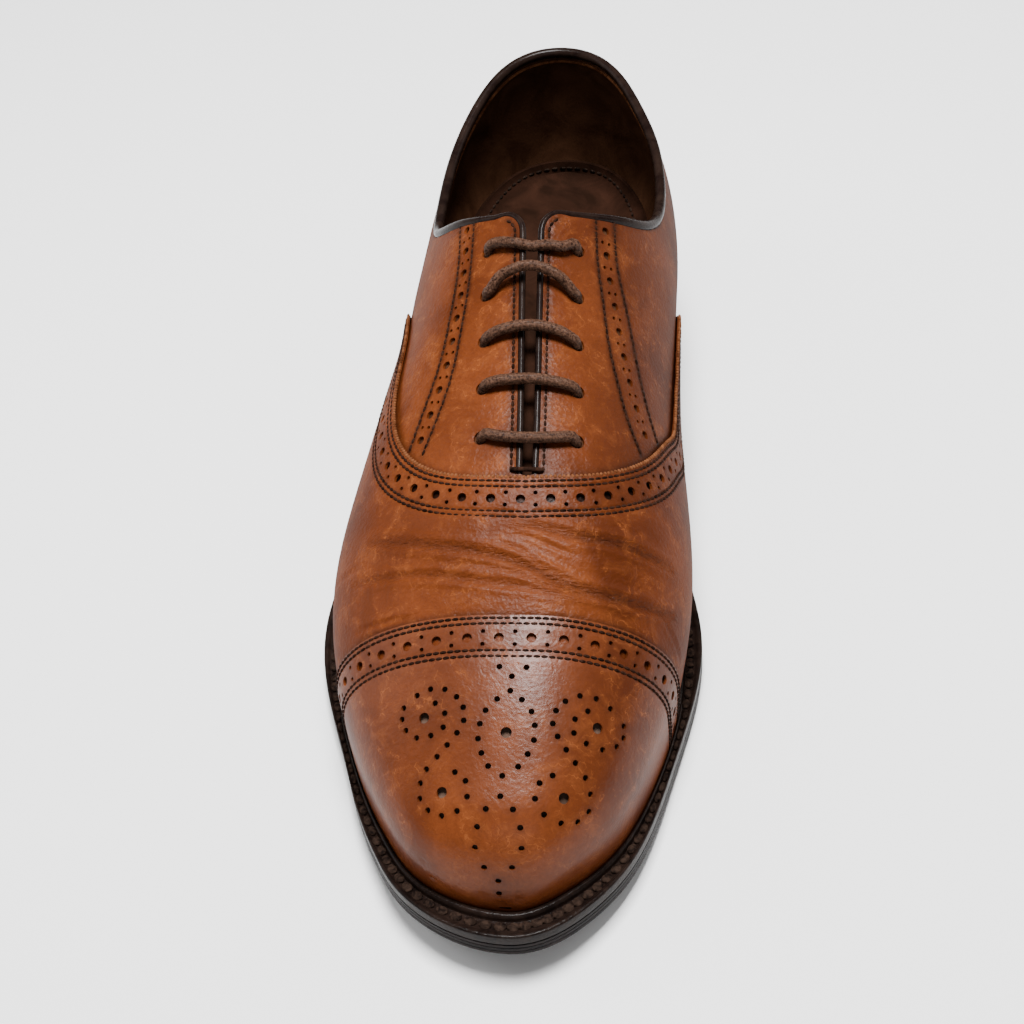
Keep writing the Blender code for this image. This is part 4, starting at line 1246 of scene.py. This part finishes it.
# %% Cords
def smooth_path(points, step):
    rows = np.asarray(points, float)
    share = np.linspace(0.0, len(rows) - 1.0, len(rows) * 12)
    fine = curve_value(rows, curve_through(rows), share)
    run = run_length(fine)
    at = np.linspace(0.0, run[-1], int(run[-1] / step))
    return np.stack([np.interp(at, run, fine[:, k]) for k in range(3)], -1)


def path_frames(path):
    ahead = unit(np.gradient(path, axis=0))
    up = np.zeros_like(path)
    last = unit(np.cross(ahead[0], (0.31, 0.2, 0.93)))
    for k, way in enumerate(ahead):
        last = unit(last - way * last.dot(way))
        up[k] = last
    return ahead, up, np.cross(ahead, up)


def roll_cord(name, path, radius, cells, finish, nodes, relief=None):
    ahead, up, aside = path_frames(path)
    run = run_length(path)
    radii = np.broadcast_to(radius, (len(path),))

    def lay(p, q):
        at = p * (len(path) - 1.0)
        angle = q * 2.0 * math.pi
        whole = [np.stack([np.interp(at, np.arange(len(path)), rows[:, k]) for k in range(3)], -1)
                 for rows in (path, up, aside)]
        size = np.interp(at, np.arange(len(path)), radii)
        if relief is not None:
            size = size + relief(np.interp(at, np.arange(len(path)), run), angle)
        around = whole[1] * np.cos(angle)[:, None] + whole[2] * np.sin(angle)[:, None]
        return whole[0] + around * size[:, None]
    work = bent_grid(len(path) - 1, cells, lay)
    bmesh.ops.remove_doubles(work, verts=work.verts, dist=0.00001)
    bmesh.ops.holes_fill(work, edges=[edge for edge in work.edges if edge.is_boundary], sides=0)
    bmesh.ops.recalc_face_normals(work, faces=work.faces)
    print(name, "length", round(run[-1], 4), "m")
    return add_piece(name, work, finish, nodes, 70.0)


# %% [markdown]
# The piping is a strip of dark leather folded over the raw edge of the collar, which shows as a round
# bead. A bevelled edge on the quarter could stand for it, but the bead has a colour of its own and
# gets slimmer down the facings, so it is a cord whose radius changes on the way.

# %% Collar piping
BEAD_COLLAR, BEAD_FACING = 3.3 * MM, 1.9 * MM


def piping_path():
    facing = station_of(np.concatenate([
        np.linspace(THROAT, 0.424, 28), np.linspace(0.424, 0.398, 26)[1:], np.linspace(0.398, 0.272, 40)[1:],
    ]) * UPPER_LENGTH)
    columns = np.concatenate([facing, np.linspace(FIRST, 0.0, 50)[1:]])
    half, size = [], []
    for side in (-1, 1):
        top = rim_around(side, columns)
        middle = shoe_point(columns, side * (1.0 - top), -WALL / 2.0 + 0.25 * MM)
        out = last_normal(side, columns, top)
        way = np.gradient(middle, axis=0)
        way[-1] = (-side, 0.0, 0.0)
        away = unit(np.cross(way, out))
        climb = last_point(side, columns, top) - last_point(side, columns, top - 0.02)
        away *= np.sign(np.sum(away * climb, -1))[:, None]
        slim = smooth_step((columns - station_of(0.36 * UPPER_LENGTH)) / 0.6)
        radius = (BEAD_COLLAR + (BEAD_FACING - BEAD_COLLAR) * slim) / 2.0
        half.append(middle + away * (radius - 0.1 * MM)[:, None])
        size.append(radius)
    path = np.concatenate([half[0], half[1][::-1][1:]])
    return place(path), np.concatenate([size[0], size[1][::-1][1:]])


pipe_rows, pipe_radii = piping_path()
pipe_run = run_length(pipe_rows)
pipe_at = np.linspace(0.0, pipe_run[-1], 420)
pipe_path = np.stack([np.interp(pipe_at, pipe_run, pipe_rows[:, k]) for k in range(3)], -1)
for _ in range(2):
    pipe_path[1:-1] = (pipe_path[:-2] + 2.0 * pipe_path[1:-1] + pipe_path[2:]) / 4.0
roll_cord("collar_bead", pipe_path, np.interp(pipe_at, pipe_run, pipe_radii), 12, dark_leather,
          ["collar_piping"])


# %% [markdown]
# Inside the piping the lining's edge is turned and pressed, which shows as a thin pale line. It is a
# second and much thinner cord, a little lower than the bead.

# %% Turned edge of the lining
def lining_edge():
    front = station_of(np.linspace(0.395, 0.272, 60) * UPPER_LENGTH)
    columns = np.concatenate([front, np.linspace(FIRST, 0.0, 90)[1:]])
    half = []
    for side in (-1, 1):
        top = rim_around(side, columns) - 0.012
        half.append(spot(columns, side * (1.0 - top), -WALL - 0.15 * MM))
    path = np.concatenate([half[0], half[1][::-1][1:]])
    run = run_length(path)
    at = np.linspace(0.0, run[-1], 300)
    path = np.stack([np.interp(at, run, path[:, k]) for k in range(3)], -1)
    return roll_cord("lining_edge", path, 0.55 * MM, 8, raw_edge, ["upper"])


lining_edge()

# %% [markdown]
# The lace is one waxed cotton cord. It crosses the facings in straight bars, goes down through each
# hole and runs on under the leather to the next row. Its ends stay hidden below the top holes.

# %% Laces
# Bars from the top row down: how far the middle bows towards the heel and out of the leather,
# how far it dips between the facings, and how much it slants, in millimetres.
LACE_BARS = (((-3.2, 0.0), 1.6, 1.3), ((3.7, 2.0), 0.0, 0.3), ((1.2, 0.6), 0.0, 0.0), ((0.0, 0.3), 0.0, 0.2),
             ((-2.0, 0.0), 0.0, 0.0))


def facing_place(across, along, lift):
    u = station_of(along)
    return spot(u, level_at(across, u), lift)


def lace_path():
    bend = LACE / 2.0 + 0.1 * MM
    rim = EYELET / 2.0 - 0.5 * MM
    first = HOLE_FIRST * UPPER_LENGTH
    path, side = [], -1
    for row in reversed(range(HOLE_ROWS)):
        along = first + HOLE_PITCH * row
        over = [(0.0, 0.0, -WALL * 0.55), (-0.5 * rim, 0.0, 0.35 * bend), (-1.3 * rim, 0.0, bend)]
        under = [(0.6 * MM, 1.6 * MM, -WALL - 1.2 * bend), (0.2 * MM, 0.5 * MM, -WALL * 1.1)]
        path += [(side * (HOLE_SIDE + a), along + b, c) for a, b, c in under + over]
        bow, drop, slant = LACE_BARS[row]
        for share in (0.62, 0.4, 0.2, 0.0, -0.2, -0.4, -0.62):
            arch = math.cos(share * math.pi / 2.0) ** 1.3
            lift = bend + (0.35 + bow[1] * arch) * MM - drop * MM * max(0.0, 1.0 - 3.0 * abs(share))
            place_along = along - bow[0] * MM * arch + slant * MM * share * side
            path.append((side * HOLE_SIDE * share, place_along, lift))
        side = -side
        path += [(side * (HOLE_SIDE + a), along + b, c) for a, b, c in reversed(over)]
        path += [(side * (HOLE_SIDE + a), along - b, c) for a, b, c in reversed(under)]
    return path


def yarn(run, angle):
    """Eight strands that wind round the cord in both directions."""
    turn = run / (2.6 * MM) * 2.0 * math.pi
    return 0.13 * MM * (np.cos(4.0 * angle + turn) * np.cos(4.0 * angle - turn))


lace_spots = np.array([facing_place(a, b, c) for a, b, c in lace_path()])
lace_finish = plain_finish("waxed_lace", (0.012, 0.005, 0.003), (0.095, 0.048, 0.030),
                           1500.0, 0.42, 2600.0, 0.00045, 0.10)
roll_cord("lace", smooth_path(lace_spots, 0.55 * MM), LACE / 2.0, 24, lace_finish, ["laces"], yarn)


# %% [markdown]
# The tongue lies under the laces and keeps them off the foot. Only its middle shows, between the
# facings, so it is one padded strip that comes up to the vamp at its lower end.

# %% Tongue
TONGUE_START, TONGUE_END, TONGUE_RISE = 0.51, 0.70, 0.64
TONGUE_DEEP = 6.1 * MM


def make_tongue():
    def lay(p, q):
        along = (TONGUE_START + (TONGUE_END - TONGUE_START) * q) * UPPER_LENGTH
        rise = smooth_step((along / UPPER_LENGTH - TONGUE_RISE) / 0.06)
        lift = -(TONGUE_DEEP + (WALL + 0.6 * MM - TONGUE_DEEP) * rise)
        return spot(station_of(along), (2.0 * p - 1.0) * 0.20, lift)
    work = face_outwards(bent_grid(44, 60, lay), (0.0, 0.0, 0.0))
    return give_wall(add_piece("soft_tongue", work, insole_leather, ["tongue"]), 2.2 * MM)


make_tongue()


# %% [markdown]
# ## Welt, sole and heel
# Under the upper lies the welt, a leather strip with a raised bead against the upper and a stitched
# channel beside it. The outsole follows the same outline. Each is one section swept round the foot.

# %% Outline of the sole
def round_the_foot(p):
    """A closed trip round the sole: from the heel along the outer side, back along the inner side."""
    side = np.where(p < 0.5, -1.0, 1.0)
    share = 1.0 - np.abs(2.0 * p - 1.0)
    return side, np.interp(share, SWEEP_SHARE, SWEEP_U)


SWEEP_U = np.linspace(0.0, TIP, 801)
SWEEP_RUN = np.mean([run_length(outline(side, SWEEP_U, sole_reach(side, SWEEP_U))) for side in (-1, 1)], axis=0)
SWEEP_SHARE = SWEEP_RUN / SWEEP_RUN[-1]
print("way round half of the sole", round(float(SWEEP_RUN[-1]), 4), "m")


def welt_inner(side, along):
    """The welt keeps clear of the vamp and of the cap, which stand further out than the quarters."""
    column = 0 if side < 0 else 1
    vamp_at, cap_at = VAMP_EDGE[0][column] * UPPER_LENGTH, CAP_EDGE[0][column] * UPPER_LENGTH
    step, plain = 2.0 * MM, 2.0 * CLEARANCE
    stops = (0.0, vamp_at - 2.0 * step, vamp_at - step, cap_at - 2.0 * step, cap_at - step, SOLE_LENGTH)
    rooms = (plain, plain, plain + PANEL + CLEARANCE, plain + PANEL + CLEARANCE, plain + CAP + CLEARANCE,
             plain + CAP + CLEARANCE)
    return np.interp(along, stops, rooms) - 0.5 * MM


def sole_place(side, u, across, height):
    """A place on the sole: share of the way from the welt's inner to its outer edge, and a height."""
    made = np.zeros(np.shape(u) + (3,))
    for one in (-1, 1):
        mine = side == one
        inner = welt_inner(one, last_point(one, u[mine], 0.0)[:, 1])
        reach = sole_reach(one, u[mine])
        spots = outline(one, u[mine], inner + (reach - inner) * across[mine])
        spots[:, 2] = sole_line(spots[:, 1]) + height[mine]
        made[mine] = spots
    return place(made)


# %% [markdown]
# A storm welt has a raised bead that presses against the upper and keeps water out, a channel for the
# stitches and a slightly raised outer rim. Spinning or bevelling a plain strip can't give that shape,
# so its section is drawn as a few places and swept round the foot.

# %% Welt
WELT_SECTION = (
    # across, share of the width; rise, in welt beads above the stitch channel
    (0.00, -1.7), (0.00, 0.30), (0.015, 0.62), (0.05, 0.86), (0.10, 0.98), (0.15, 1.00), (0.20, 0.95),
    (0.25, 0.78), (0.29, 0.50), (0.315, 0.18), (0.34, 0.00), (0.42, -0.04), (0.54, -0.05), (0.66, -0.04),
    (0.76, 0.00), (0.80, 0.12), (0.84, 0.23), (0.90, 0.26), (0.96, 0.20), (0.995, 0.04), (1.00, -0.3),
    (1.00, -1.0), (0.99, -1.7),
)


def make_welt():
    section = np.array(WELT_SECTION)
    knots = np.linspace(0.0, 1.0, len(section))

    def lay(p, q):
        side, u = round_the_foot(p)
        across = np.interp(q, knots, section[:, 0])
        rise = np.interp(q, knots, section[:, 1])
        height = OUTSOLE + WELT + WELT_BEAD * rise
        return sole_place(side, u, across, height)
    work = bent_grid(620, 66, lay)
    loops = [edge for edge in work.edges if edge.is_boundary]
    bmesh.ops.bridge_loops(work, edges=loops)
    bmesh.ops.recalc_face_normals(work, faces=work.faces)
    print("welt", len(work.faces), "faces")
    return add_piece("storm_welt", work, welt_leather, ["welt"], 50.0)


make_welt()


# %% [markdown]
# Thick waxed thread fills the channel of the welt. The stitches are as wide as the channel, which is
# widest at the ball of the foot, so their width follows the reach of the sole.

# %% Welt stitches
WELT_STITCHES = 178


def welt_stitches():
    count = WELT_STITCHES
    p = (np.arange(count) + 0.5) / count
    side, u = round_the_foot(p)
    flat = np.full(count, 0.55)
    height = np.full(count, OUTSOLE + WELT + 0.25 * MM)
    middle = sole_place(side, u, flat, height)
    side2, u2 = round_the_foot(np.clip(p + 0.001, 0.0, 1.0))
    ahead = unit(sole_place(side2, u2, flat, height) - middle)
    out = np.broadcast_to((0.0, 0.0, 1.0), middle.shape)
    reach = np.where(side < 0, sole_reach(-1, u), sole_reach(1, u))
    width = np.interp(reach, (2.5 * MM, 8 * MM), (0.9 * MM, 2.6 * MM))
    made = frames(middle, ahead, out)
    made[:, :3, 0] *= 3.5 * MM
    made[:, :3, 1] *= width[:, None]
    made[:, :3, 2] *= 1.15 * MM
    work = copies(stitch_shape(), made)
    print("welt", count, "stitches")
    return add_piece("welt_stitches", work, welt_thread, [], 80.0)


welt_stitches()


# %% [markdown]
# The outsole is one thick layer of leather, but its inked edge shows the lines of the layers that the
# maker glued. Those lines are shallow grooves in the section, so they catch the light from all sides.

# %% Outsole
OUTSOLE_SECTION = (
    # across and height, as shares of the outsole's thickness inwards from the edge and upwards
    (1.20, 1.00), (0.10, 1.00), (0.0, 0.94), (0.0, 0.72), (0.035, 0.69), (0.0, 0.66), (0.0, 0.42),
    (0.03, 0.39), (0.0, 0.36), (0.0, 0.16), (0.05, 0.06), (0.20, 0.0), (1.20, 0.0),
)


def make_outsole():
    section = np.array(OUTSOLE_SECTION)
    knots = np.linspace(0.0, 1.0, len(section))
    work = bmesh.new()
    bmesh.ops.create_grid(work, x_segments=300, y_segments=60, size=0.5)
    shares = np.array([dot.co[:2] for dot in work.verts]) + 0.5
    side, u = round_the_foot(shares[:, 0])
    inwards = np.interp(shares[:, 1], knots, section[:, 0]) * OUTSOLE
    height = np.interp(shares[:, 1], knots, section[:, 1]) * OUTSOLE
    spots = np.zeros((len(shares), 3))
    for one in (-1, 1):
        mine = side == one
        edge = outline(one, u[mine], sole_reach(one, u[mine]) - inwards[mine])
        edge[:, 2] = sole_line(edge[:, 1]) + height[mine]
        spots[mine] = edge
    for dot, where in zip(work.verts, place(spots)):
        dot.co = where
    bmesh.ops.remove_doubles(work, verts=work.verts, dist=0.00001)
    bmesh.ops.holes_fill(work, edges=[edge for edge in work.edges if edge.is_boundary], sides=0)
    bmesh.ops.triangulate(work, faces=[face for face in work.faces if len(face.verts) > 4])
    bmesh.ops.recalc_face_normals(work, faces=work.faces)
    print("outsole", len(work.faces), "faces")
    return add_piece("leather_outsole", work, sole_edge, ["outsole"], 35.0)


make_outsole()


# %% [markdown]
# A heel is built from leather lifts, and its lowest layer is a rubber top piece. Each layer is a
# little smaller than the one above. Stacked discs would leave gaps, so the side is one section with
# a shallow groove between the lifts, and it is split where the rubber starts.

# %% Heel
LIFT_SHARE = TOP_LIFT / HEEL_HEIGHT
HEEL_SECTION = (
    # height as a share from the ground to the seat, and how far the side stands in, in millimetres
    (0.000, 9.0), (0.000, 1.7), (0.012, 1.3), (0.225, 1.15), (0.236, 1.4), (0.247, 1.1), (0.475, 0.85),
    (0.483, 1.0), (0.491, 0.82), (0.725, 0.55), (0.733, 0.7), (0.741, 0.52), (0.990, 0.25), (1.000, 9.0),
)


def make_heel(name, low, high, finish, node):
    section = np.array([row for row in HEEL_SECTION if low <= row[0] <= high])
    breast = BREAST * SOLE_LENGTH
    work = bmesh.new()
    heel_u = np.linspace(0.0, FIRST - 0.25, 90)
    rings = []
    for share, inwards in section:
        edges = []
        for side in (-1, 1):
            edge = outline(side, heel_u, sole_reach(side, heel_u) - inwards * MM)
            edge[-1, 1] = breast - (0.0 if inwards < 5.0 else 5.0 * MM)
            edge[:, 2] = share * (HEEL_HEIGHT - CLEARANCE)
            edges.append(edge)
        rings.append(np.concatenate([edges[0][::-1], edges[1][1:]]))
    dots = [[work.verts.new(where) for where in place(ring)] for ring in rings]
    for row, after in zip(dots[:-1], dots[1:]):
        for k in range(len(row)):
            m = (k + 1) % len(row)
            work.faces.new([row[k], row[m], after[m], after[k]])
    bmesh.ops.holes_fill(work, edges=[edge for edge in work.edges if edge.is_boundary], sides=0)
    bmesh.ops.triangulate(work, faces=[face for face in work.faces if len(face.verts) > 4])
    bmesh.ops.recalc_face_normals(work, faces=work.faces)
    print(name, "rings", len(rings))
    return add_piece(name, work, finish, [node], 35.0)


make_heel("heel_lifts", LIFT_SHARE, 1.0, sole_edge, "heel_stack")
make_heel("heel_top_piece", 0.0, LIFT_SHARE, rubber, "top_lift")


# %% [markdown]
# ## Inside the shoe
# The foot stands on the insole. Its back half is covered by a thin sock of dark leather with a row
# of stitches near its edge, and that row is what shows through the collar.

# %% Insole and heel sock
INSOLE_IN, SOCK_IN = WALL + 1.1 * MM, WALL + 1.6 * MM


def sheet_place(u, side, share, inwards, high, cup):
    """A spot on a sheet inside the shoe: share 0 is its middle line and share 1 its edge."""
    edge = np.zeros((len(u), 3))
    for one in (-1, 1):
        mine = side == one
        edge[mine] = outline(one, u[mine], np.full(mine.sum(), -inwards))
    middle = (outline(-1, u, np.full(len(u), -inwards)) + outline(1, u, np.full(len(u), -inwards))) / 2.0
    spots = middle + (edge - middle) * share[:, None]
    rise = smooth_step((share - 0.55) / 0.45)
    crown = high + 0.8 * MM * rise - 0.5 * MM * (1.0 - smooth_step((1.0 - share) / 0.05))
    spots[:, 2] = sole_line(spots[:, 1]) + crown
    if cup:
        wall = shoe_point(u, side * (1.0 - 0.11 * rise), -WALL - 1.5 * MM)
        mix = (rise ** 1.5)[:, None]
        spots = spots * (1.0 - mix) + wall * mix
        spots[:, 2] += 1.0 * MM * mix[:, 0]
    return place(spots)


def insole_sheet(name, start, end, inwards, low, high, finish, cells, cup=False):
    def lay(p, q):
        u = start + (end - start) * p
        return sheet_place(u, np.where(q < 0.5, -1.0, 1.0), np.abs(2.0 * q - 1.0), inwards, high, cup)
    work = face_outwards(bent_grid(cells, 60, lay), (0.0, 0.03, -0.3))
    piece = add_piece(name, work, finish, ["insole"])
    return give_wall(piece, high - low)


insole_sheet("insole_board", 0.0, TIP, INSOLE_IN, 6.0 * MM, INSOLE_TOP - 0.9 * MM, insole_leather, 150)
insole_sheet("heel_sock", 0.0, station_of(0.135), SOCK_IN, 10.5 * MM, INSOLE_TOP, insole_leather, 100, True)


# %% [markdown]
# The sock's stitches run a few millimetres inside its edge, where it already curls up the wall. The
# line is taken from the sock's own surface, so the thread follows that curl.

# %% Stitches of the heel sock
def sock_stitches():
    made = []
    for side in (-1, 1):
        u = np.linspace(0.0, station_of(0.130), 400)
        sides, share = np.full(400, float(side)), np.full(400, 0.86)
        line = sheet_place(u, sides, share, SOCK_IN, INSOLE_TOP, True)
        inner = sheet_place(u, sides, share - 0.04, SOCK_IN, INSOLE_TOP, True)
        run = run_length(line)
        at = np.arange(1.2 * MM, run[-1], 2.9 * MM)
        middle = np.stack([np.interp(at, run, line[:, k]) for k in range(3)], -1)
        inwards = np.stack([np.interp(at, run, inner[:, k]) for k in range(3)], -1) - middle
        ahead = unit(np.stack([np.interp(at + MM, run, line[:, k]) - np.interp(at - MM, run, line[:, k])
                               for k in range(3)], -1))
        out = unit(np.cross(inwards, ahead))
        out *= np.sign(out[:, 2:3])
        made.append(frames(middle + out * 0.3 * MM, ahead, out, (2.2 * MM, 0.9 * MM, 0.6 * MM)))
    work = copies(stitch_shape(), np.concatenate(made))
    print("heel sock", sum(len(m) for m in made), "stitches")
    return add_piece("sock_stitches", work, welt_thread, [], 80.0)


sock_stitches()

# %% [markdown]
# ## Patina and painted shade
# Dark wax gathers in seams, round holes and at the feather line, and the leather is rubbed darker at the heel
# and the toe. Painted shade is added to the same value: in the creases, under the vamp's band where the quarter
# shows down its holes, and growing towards the inner side of the shoe. The paint is worked out from the
# distance to those places, and from the side for the inner side.

# %% Paint the patina and the painted shade
cap_hole_spots = np.concatenate([g[0] for g in cap_holes])
vamp_hole_spots = np.concatenate([g[0] for g in vamp_holes])
seat_line = spot(np.tile(np.linspace(0.0, TIP, 500), 2), np.repeat([-1.0, 1.0], 500))


def near_to(points, targets, width):
    return np.exp(-(nearest(points, targets)[0] / width) ** 2)


def painted_inner_shade(points):
    """Painted shade that grows from the middle of the shoe towards the inner side of the foot."""
    return smooth_step((points[:, 0] - 0.012) / 0.026)


def vamp_patina_and_shade(points):
    value = 0.85 * near_to(points, vamp_rows_spots, 0.85 * MM)
    value += 0.35 * near_to(points, vamp_hole_spots, 1.5 * MM)
    value += 0.40 * near_to(points, seat_line, 5.0 * MM)
    value += 0.5 * near_to(points, spot(*cap_line, VAMP_LIFT), 1.2 * MM)
    # The creases are darkened, partly as wax in the folds and partly as painted shade.
    for depth, width, places in CREASES:
        value += 0.62 * depth * near_to(points, crease_line(places)[0], 0.75 * width * MM)
    # Painted shade towards the inner side of the shoe.
    return value + 0.16 * painted_inner_shade(points)


def cap_patina_and_shade(points):
    value = 0.85 * near_to(points, cap_rows_spots, 0.85 * MM) + 0.30 * near_to(points, cap_hole_spots, 1.4 * MM)
    value += 0.45 * near_to(points, seat_line, 5.5 * MM)
    u_toe = station_of(0.2925)
    value += 0.35 * soft_spot(points, spot(u_toe, 0.0), 6.0 * MM)
    # Painted shade towards the inner side of the shoe.
    return value + 0.16 * painted_inner_shade(points)


def quarter_patina_and_shade(points):
    rows = np.concatenate([spot(*line) for side in (-1, 1) for line in strip_rows[side]])
    edge = spot(*vamp_line)
    value = 0.8 * near_to(points, rows, 0.8 * MM) + 0.5 * near_to(points, edge, 1.5 * MM)
    value += 0.40 * near_to(points, seat_line, 5.0 * MM)
    facing = np.concatenate([spot(*facing_row(side, 1.2 * MM)) for side in (-1, 1)])
    value += 0.5 * near_to(points, facing, 1.4 * MM)
    # Painted shade: the quarter is darkened under the vamp's band, where it shows down the punched holes.
    under = inset(trim(walk_aside(*vamp_line, 7.0 * MM), -0.99, 0.99), vamp_line, 7.0 * MM)
    value += 1.0 * near_to(points, spot(*under), 3.6 * MM)
    value += 0.7 * near_to(points, back_line(), 0.45 * MM)
    # Painted shade towards the inner side of the shoe.
    return value + 0.30 * painted_inner_shade(points)


def vamp_folds(points):
    value = np.zeros(len(points))
    for depth, width, places in CREASES:
        value += 1.6 * depth * near_to(points, crease_line(places)[0], 1.5 * width * MM)
    return value


paint_corner_value(vamp, vamp_patina_and_shade)
paint_corner_value(vamp, vamp_folds, "fold")
paint_corner_value(cap, cap_patina_and_shade)
for quarter in quarters:
    paint_corner_value(quarter, quarter_patina_and_shade)
print("painted", [piece.name for piece in (vamp, cap, *quarters)])

# %% [markdown]
# ## Floor, light and camera
# The shoe stands on a plain pale floor, so that its shadow shows where it touches. A picture of a
# studio round the scene could give the light as well, but a few lamps are easier to move.

# %% Floor
def make_floor():
    work = bmesh.new()
    bmesh.ops.create_grid(work, x_segments=1, y_segments=1, size=3.0)
    mesh = bpy.data.meshes.new("floor")
    work.to_mesh(mesh)
    work.free()
    floor = bpy.data.objects.new("floor", mesh)
    bpy.context.scene.collection.objects.link(floor)
    paint, tree, skin = start_finish("pale_floor")
    skin.inputs["Base Color"].default_value = (0.97, 0.97, 0.97, 1.0)
    skin.inputs["Roughness"].default_value = 0.9
    mesh.materials.append(paint)
    return floor


floor = make_floor()
print("floor", tuple(round(size, 2) for size in floor.dimensions), "m")


# %% [markdown]
# A lamp above the shoe gives the long glow on the toe, and its size sets how soft that glow is.
# Three weaker ones, left, right and in front, and a pale room keep the dark side readable.

# %% Lights
def soft_light(name, where, target, size, power):
    lamp = bpy.data.lights.new(name, "AREA")
    lamp.shape = "RECTANGLE"
    lamp.size, lamp.size_y = size
    lamp.energy = power
    made = bpy.data.objects.new(name, lamp)
    made.location = where
    made.rotation_euler = (Vector(target) - Vector(where)).to_track_quat("-Z", "Y").to_euler()
    bpy.context.scene.collection.objects.link(made)
    return made


soft_light("light_above", (0.04, 0.04, 1.05), (0.0, -0.05, 0.0), (0.34, 0.34), 33.0)
soft_light("light_left", (-0.90, 0.10, 0.55), (0.0, 0.0, 0.04), (0.5, 1.0), 4.0)
soft_light("light_right", (0.85, 0.45, 0.50), (0.0, 0.0, 0.04), (0.35, 0.8), 1.5)
soft_light("light_front", (0.15, -1.10, 0.75), (0.0, -0.05, 0.02), (0.8, 0.5), 2.0)
world = bpy.data.worlds.new("pale_room")
world.use_nodes = True
world.node_tree.nodes["Background"].inputs["Color"].default_value = (1.0, 1.0, 1.0, 1.0)
world.node_tree.nodes["Background"].inputs["Strength"].default_value = 0.22
bpy.context.scene.world = world
print("lamps", len(bpy.data.lights))

# %% [markdown]
# The camera looks down at the toe from where the photograph was taken. Its place and its three turns
# were fitted until the outline and the seams fell where the photograph has them.

# %% Camera
CAMERA_PLACE = (0.0631, -0.3914, 0.42035)
CAMERA_DOWN, CAMERA_TURN, CAMERA_ASIDE = 43.97, 1.0, 6.06
CAMERA_LENS = 64.27
camera_data = bpy.data.cameras.new("camera")
camera_data.lens = CAMERA_LENS
camera_data.sensor_width = 36.0
camera = bpy.data.objects.new("camera", camera_data)
turn = Matrix.Rotation(math.radians(CAMERA_TURN), 4, "Z") @ Matrix.Rotation(math.radians(CAMERA_DOWN), 4, "X")
turn = turn @ Matrix.Rotation(math.radians(CAMERA_ASIDE), 4, "Y")
camera.matrix_world = Matrix.Translation(CAMERA_PLACE) @ turn
bpy.context.scene.collection.objects.link(camera)
bpy.context.scene.camera = camera
print("camera", tuple(round(c, 3) for c in camera.matrix_world.translation), "lens", camera_data.lens)

# %% [markdown]
# ## Sizes
# The dressed shoe must stay the size of the solids.

# %% Finish
bpy.context.view_layer.update()
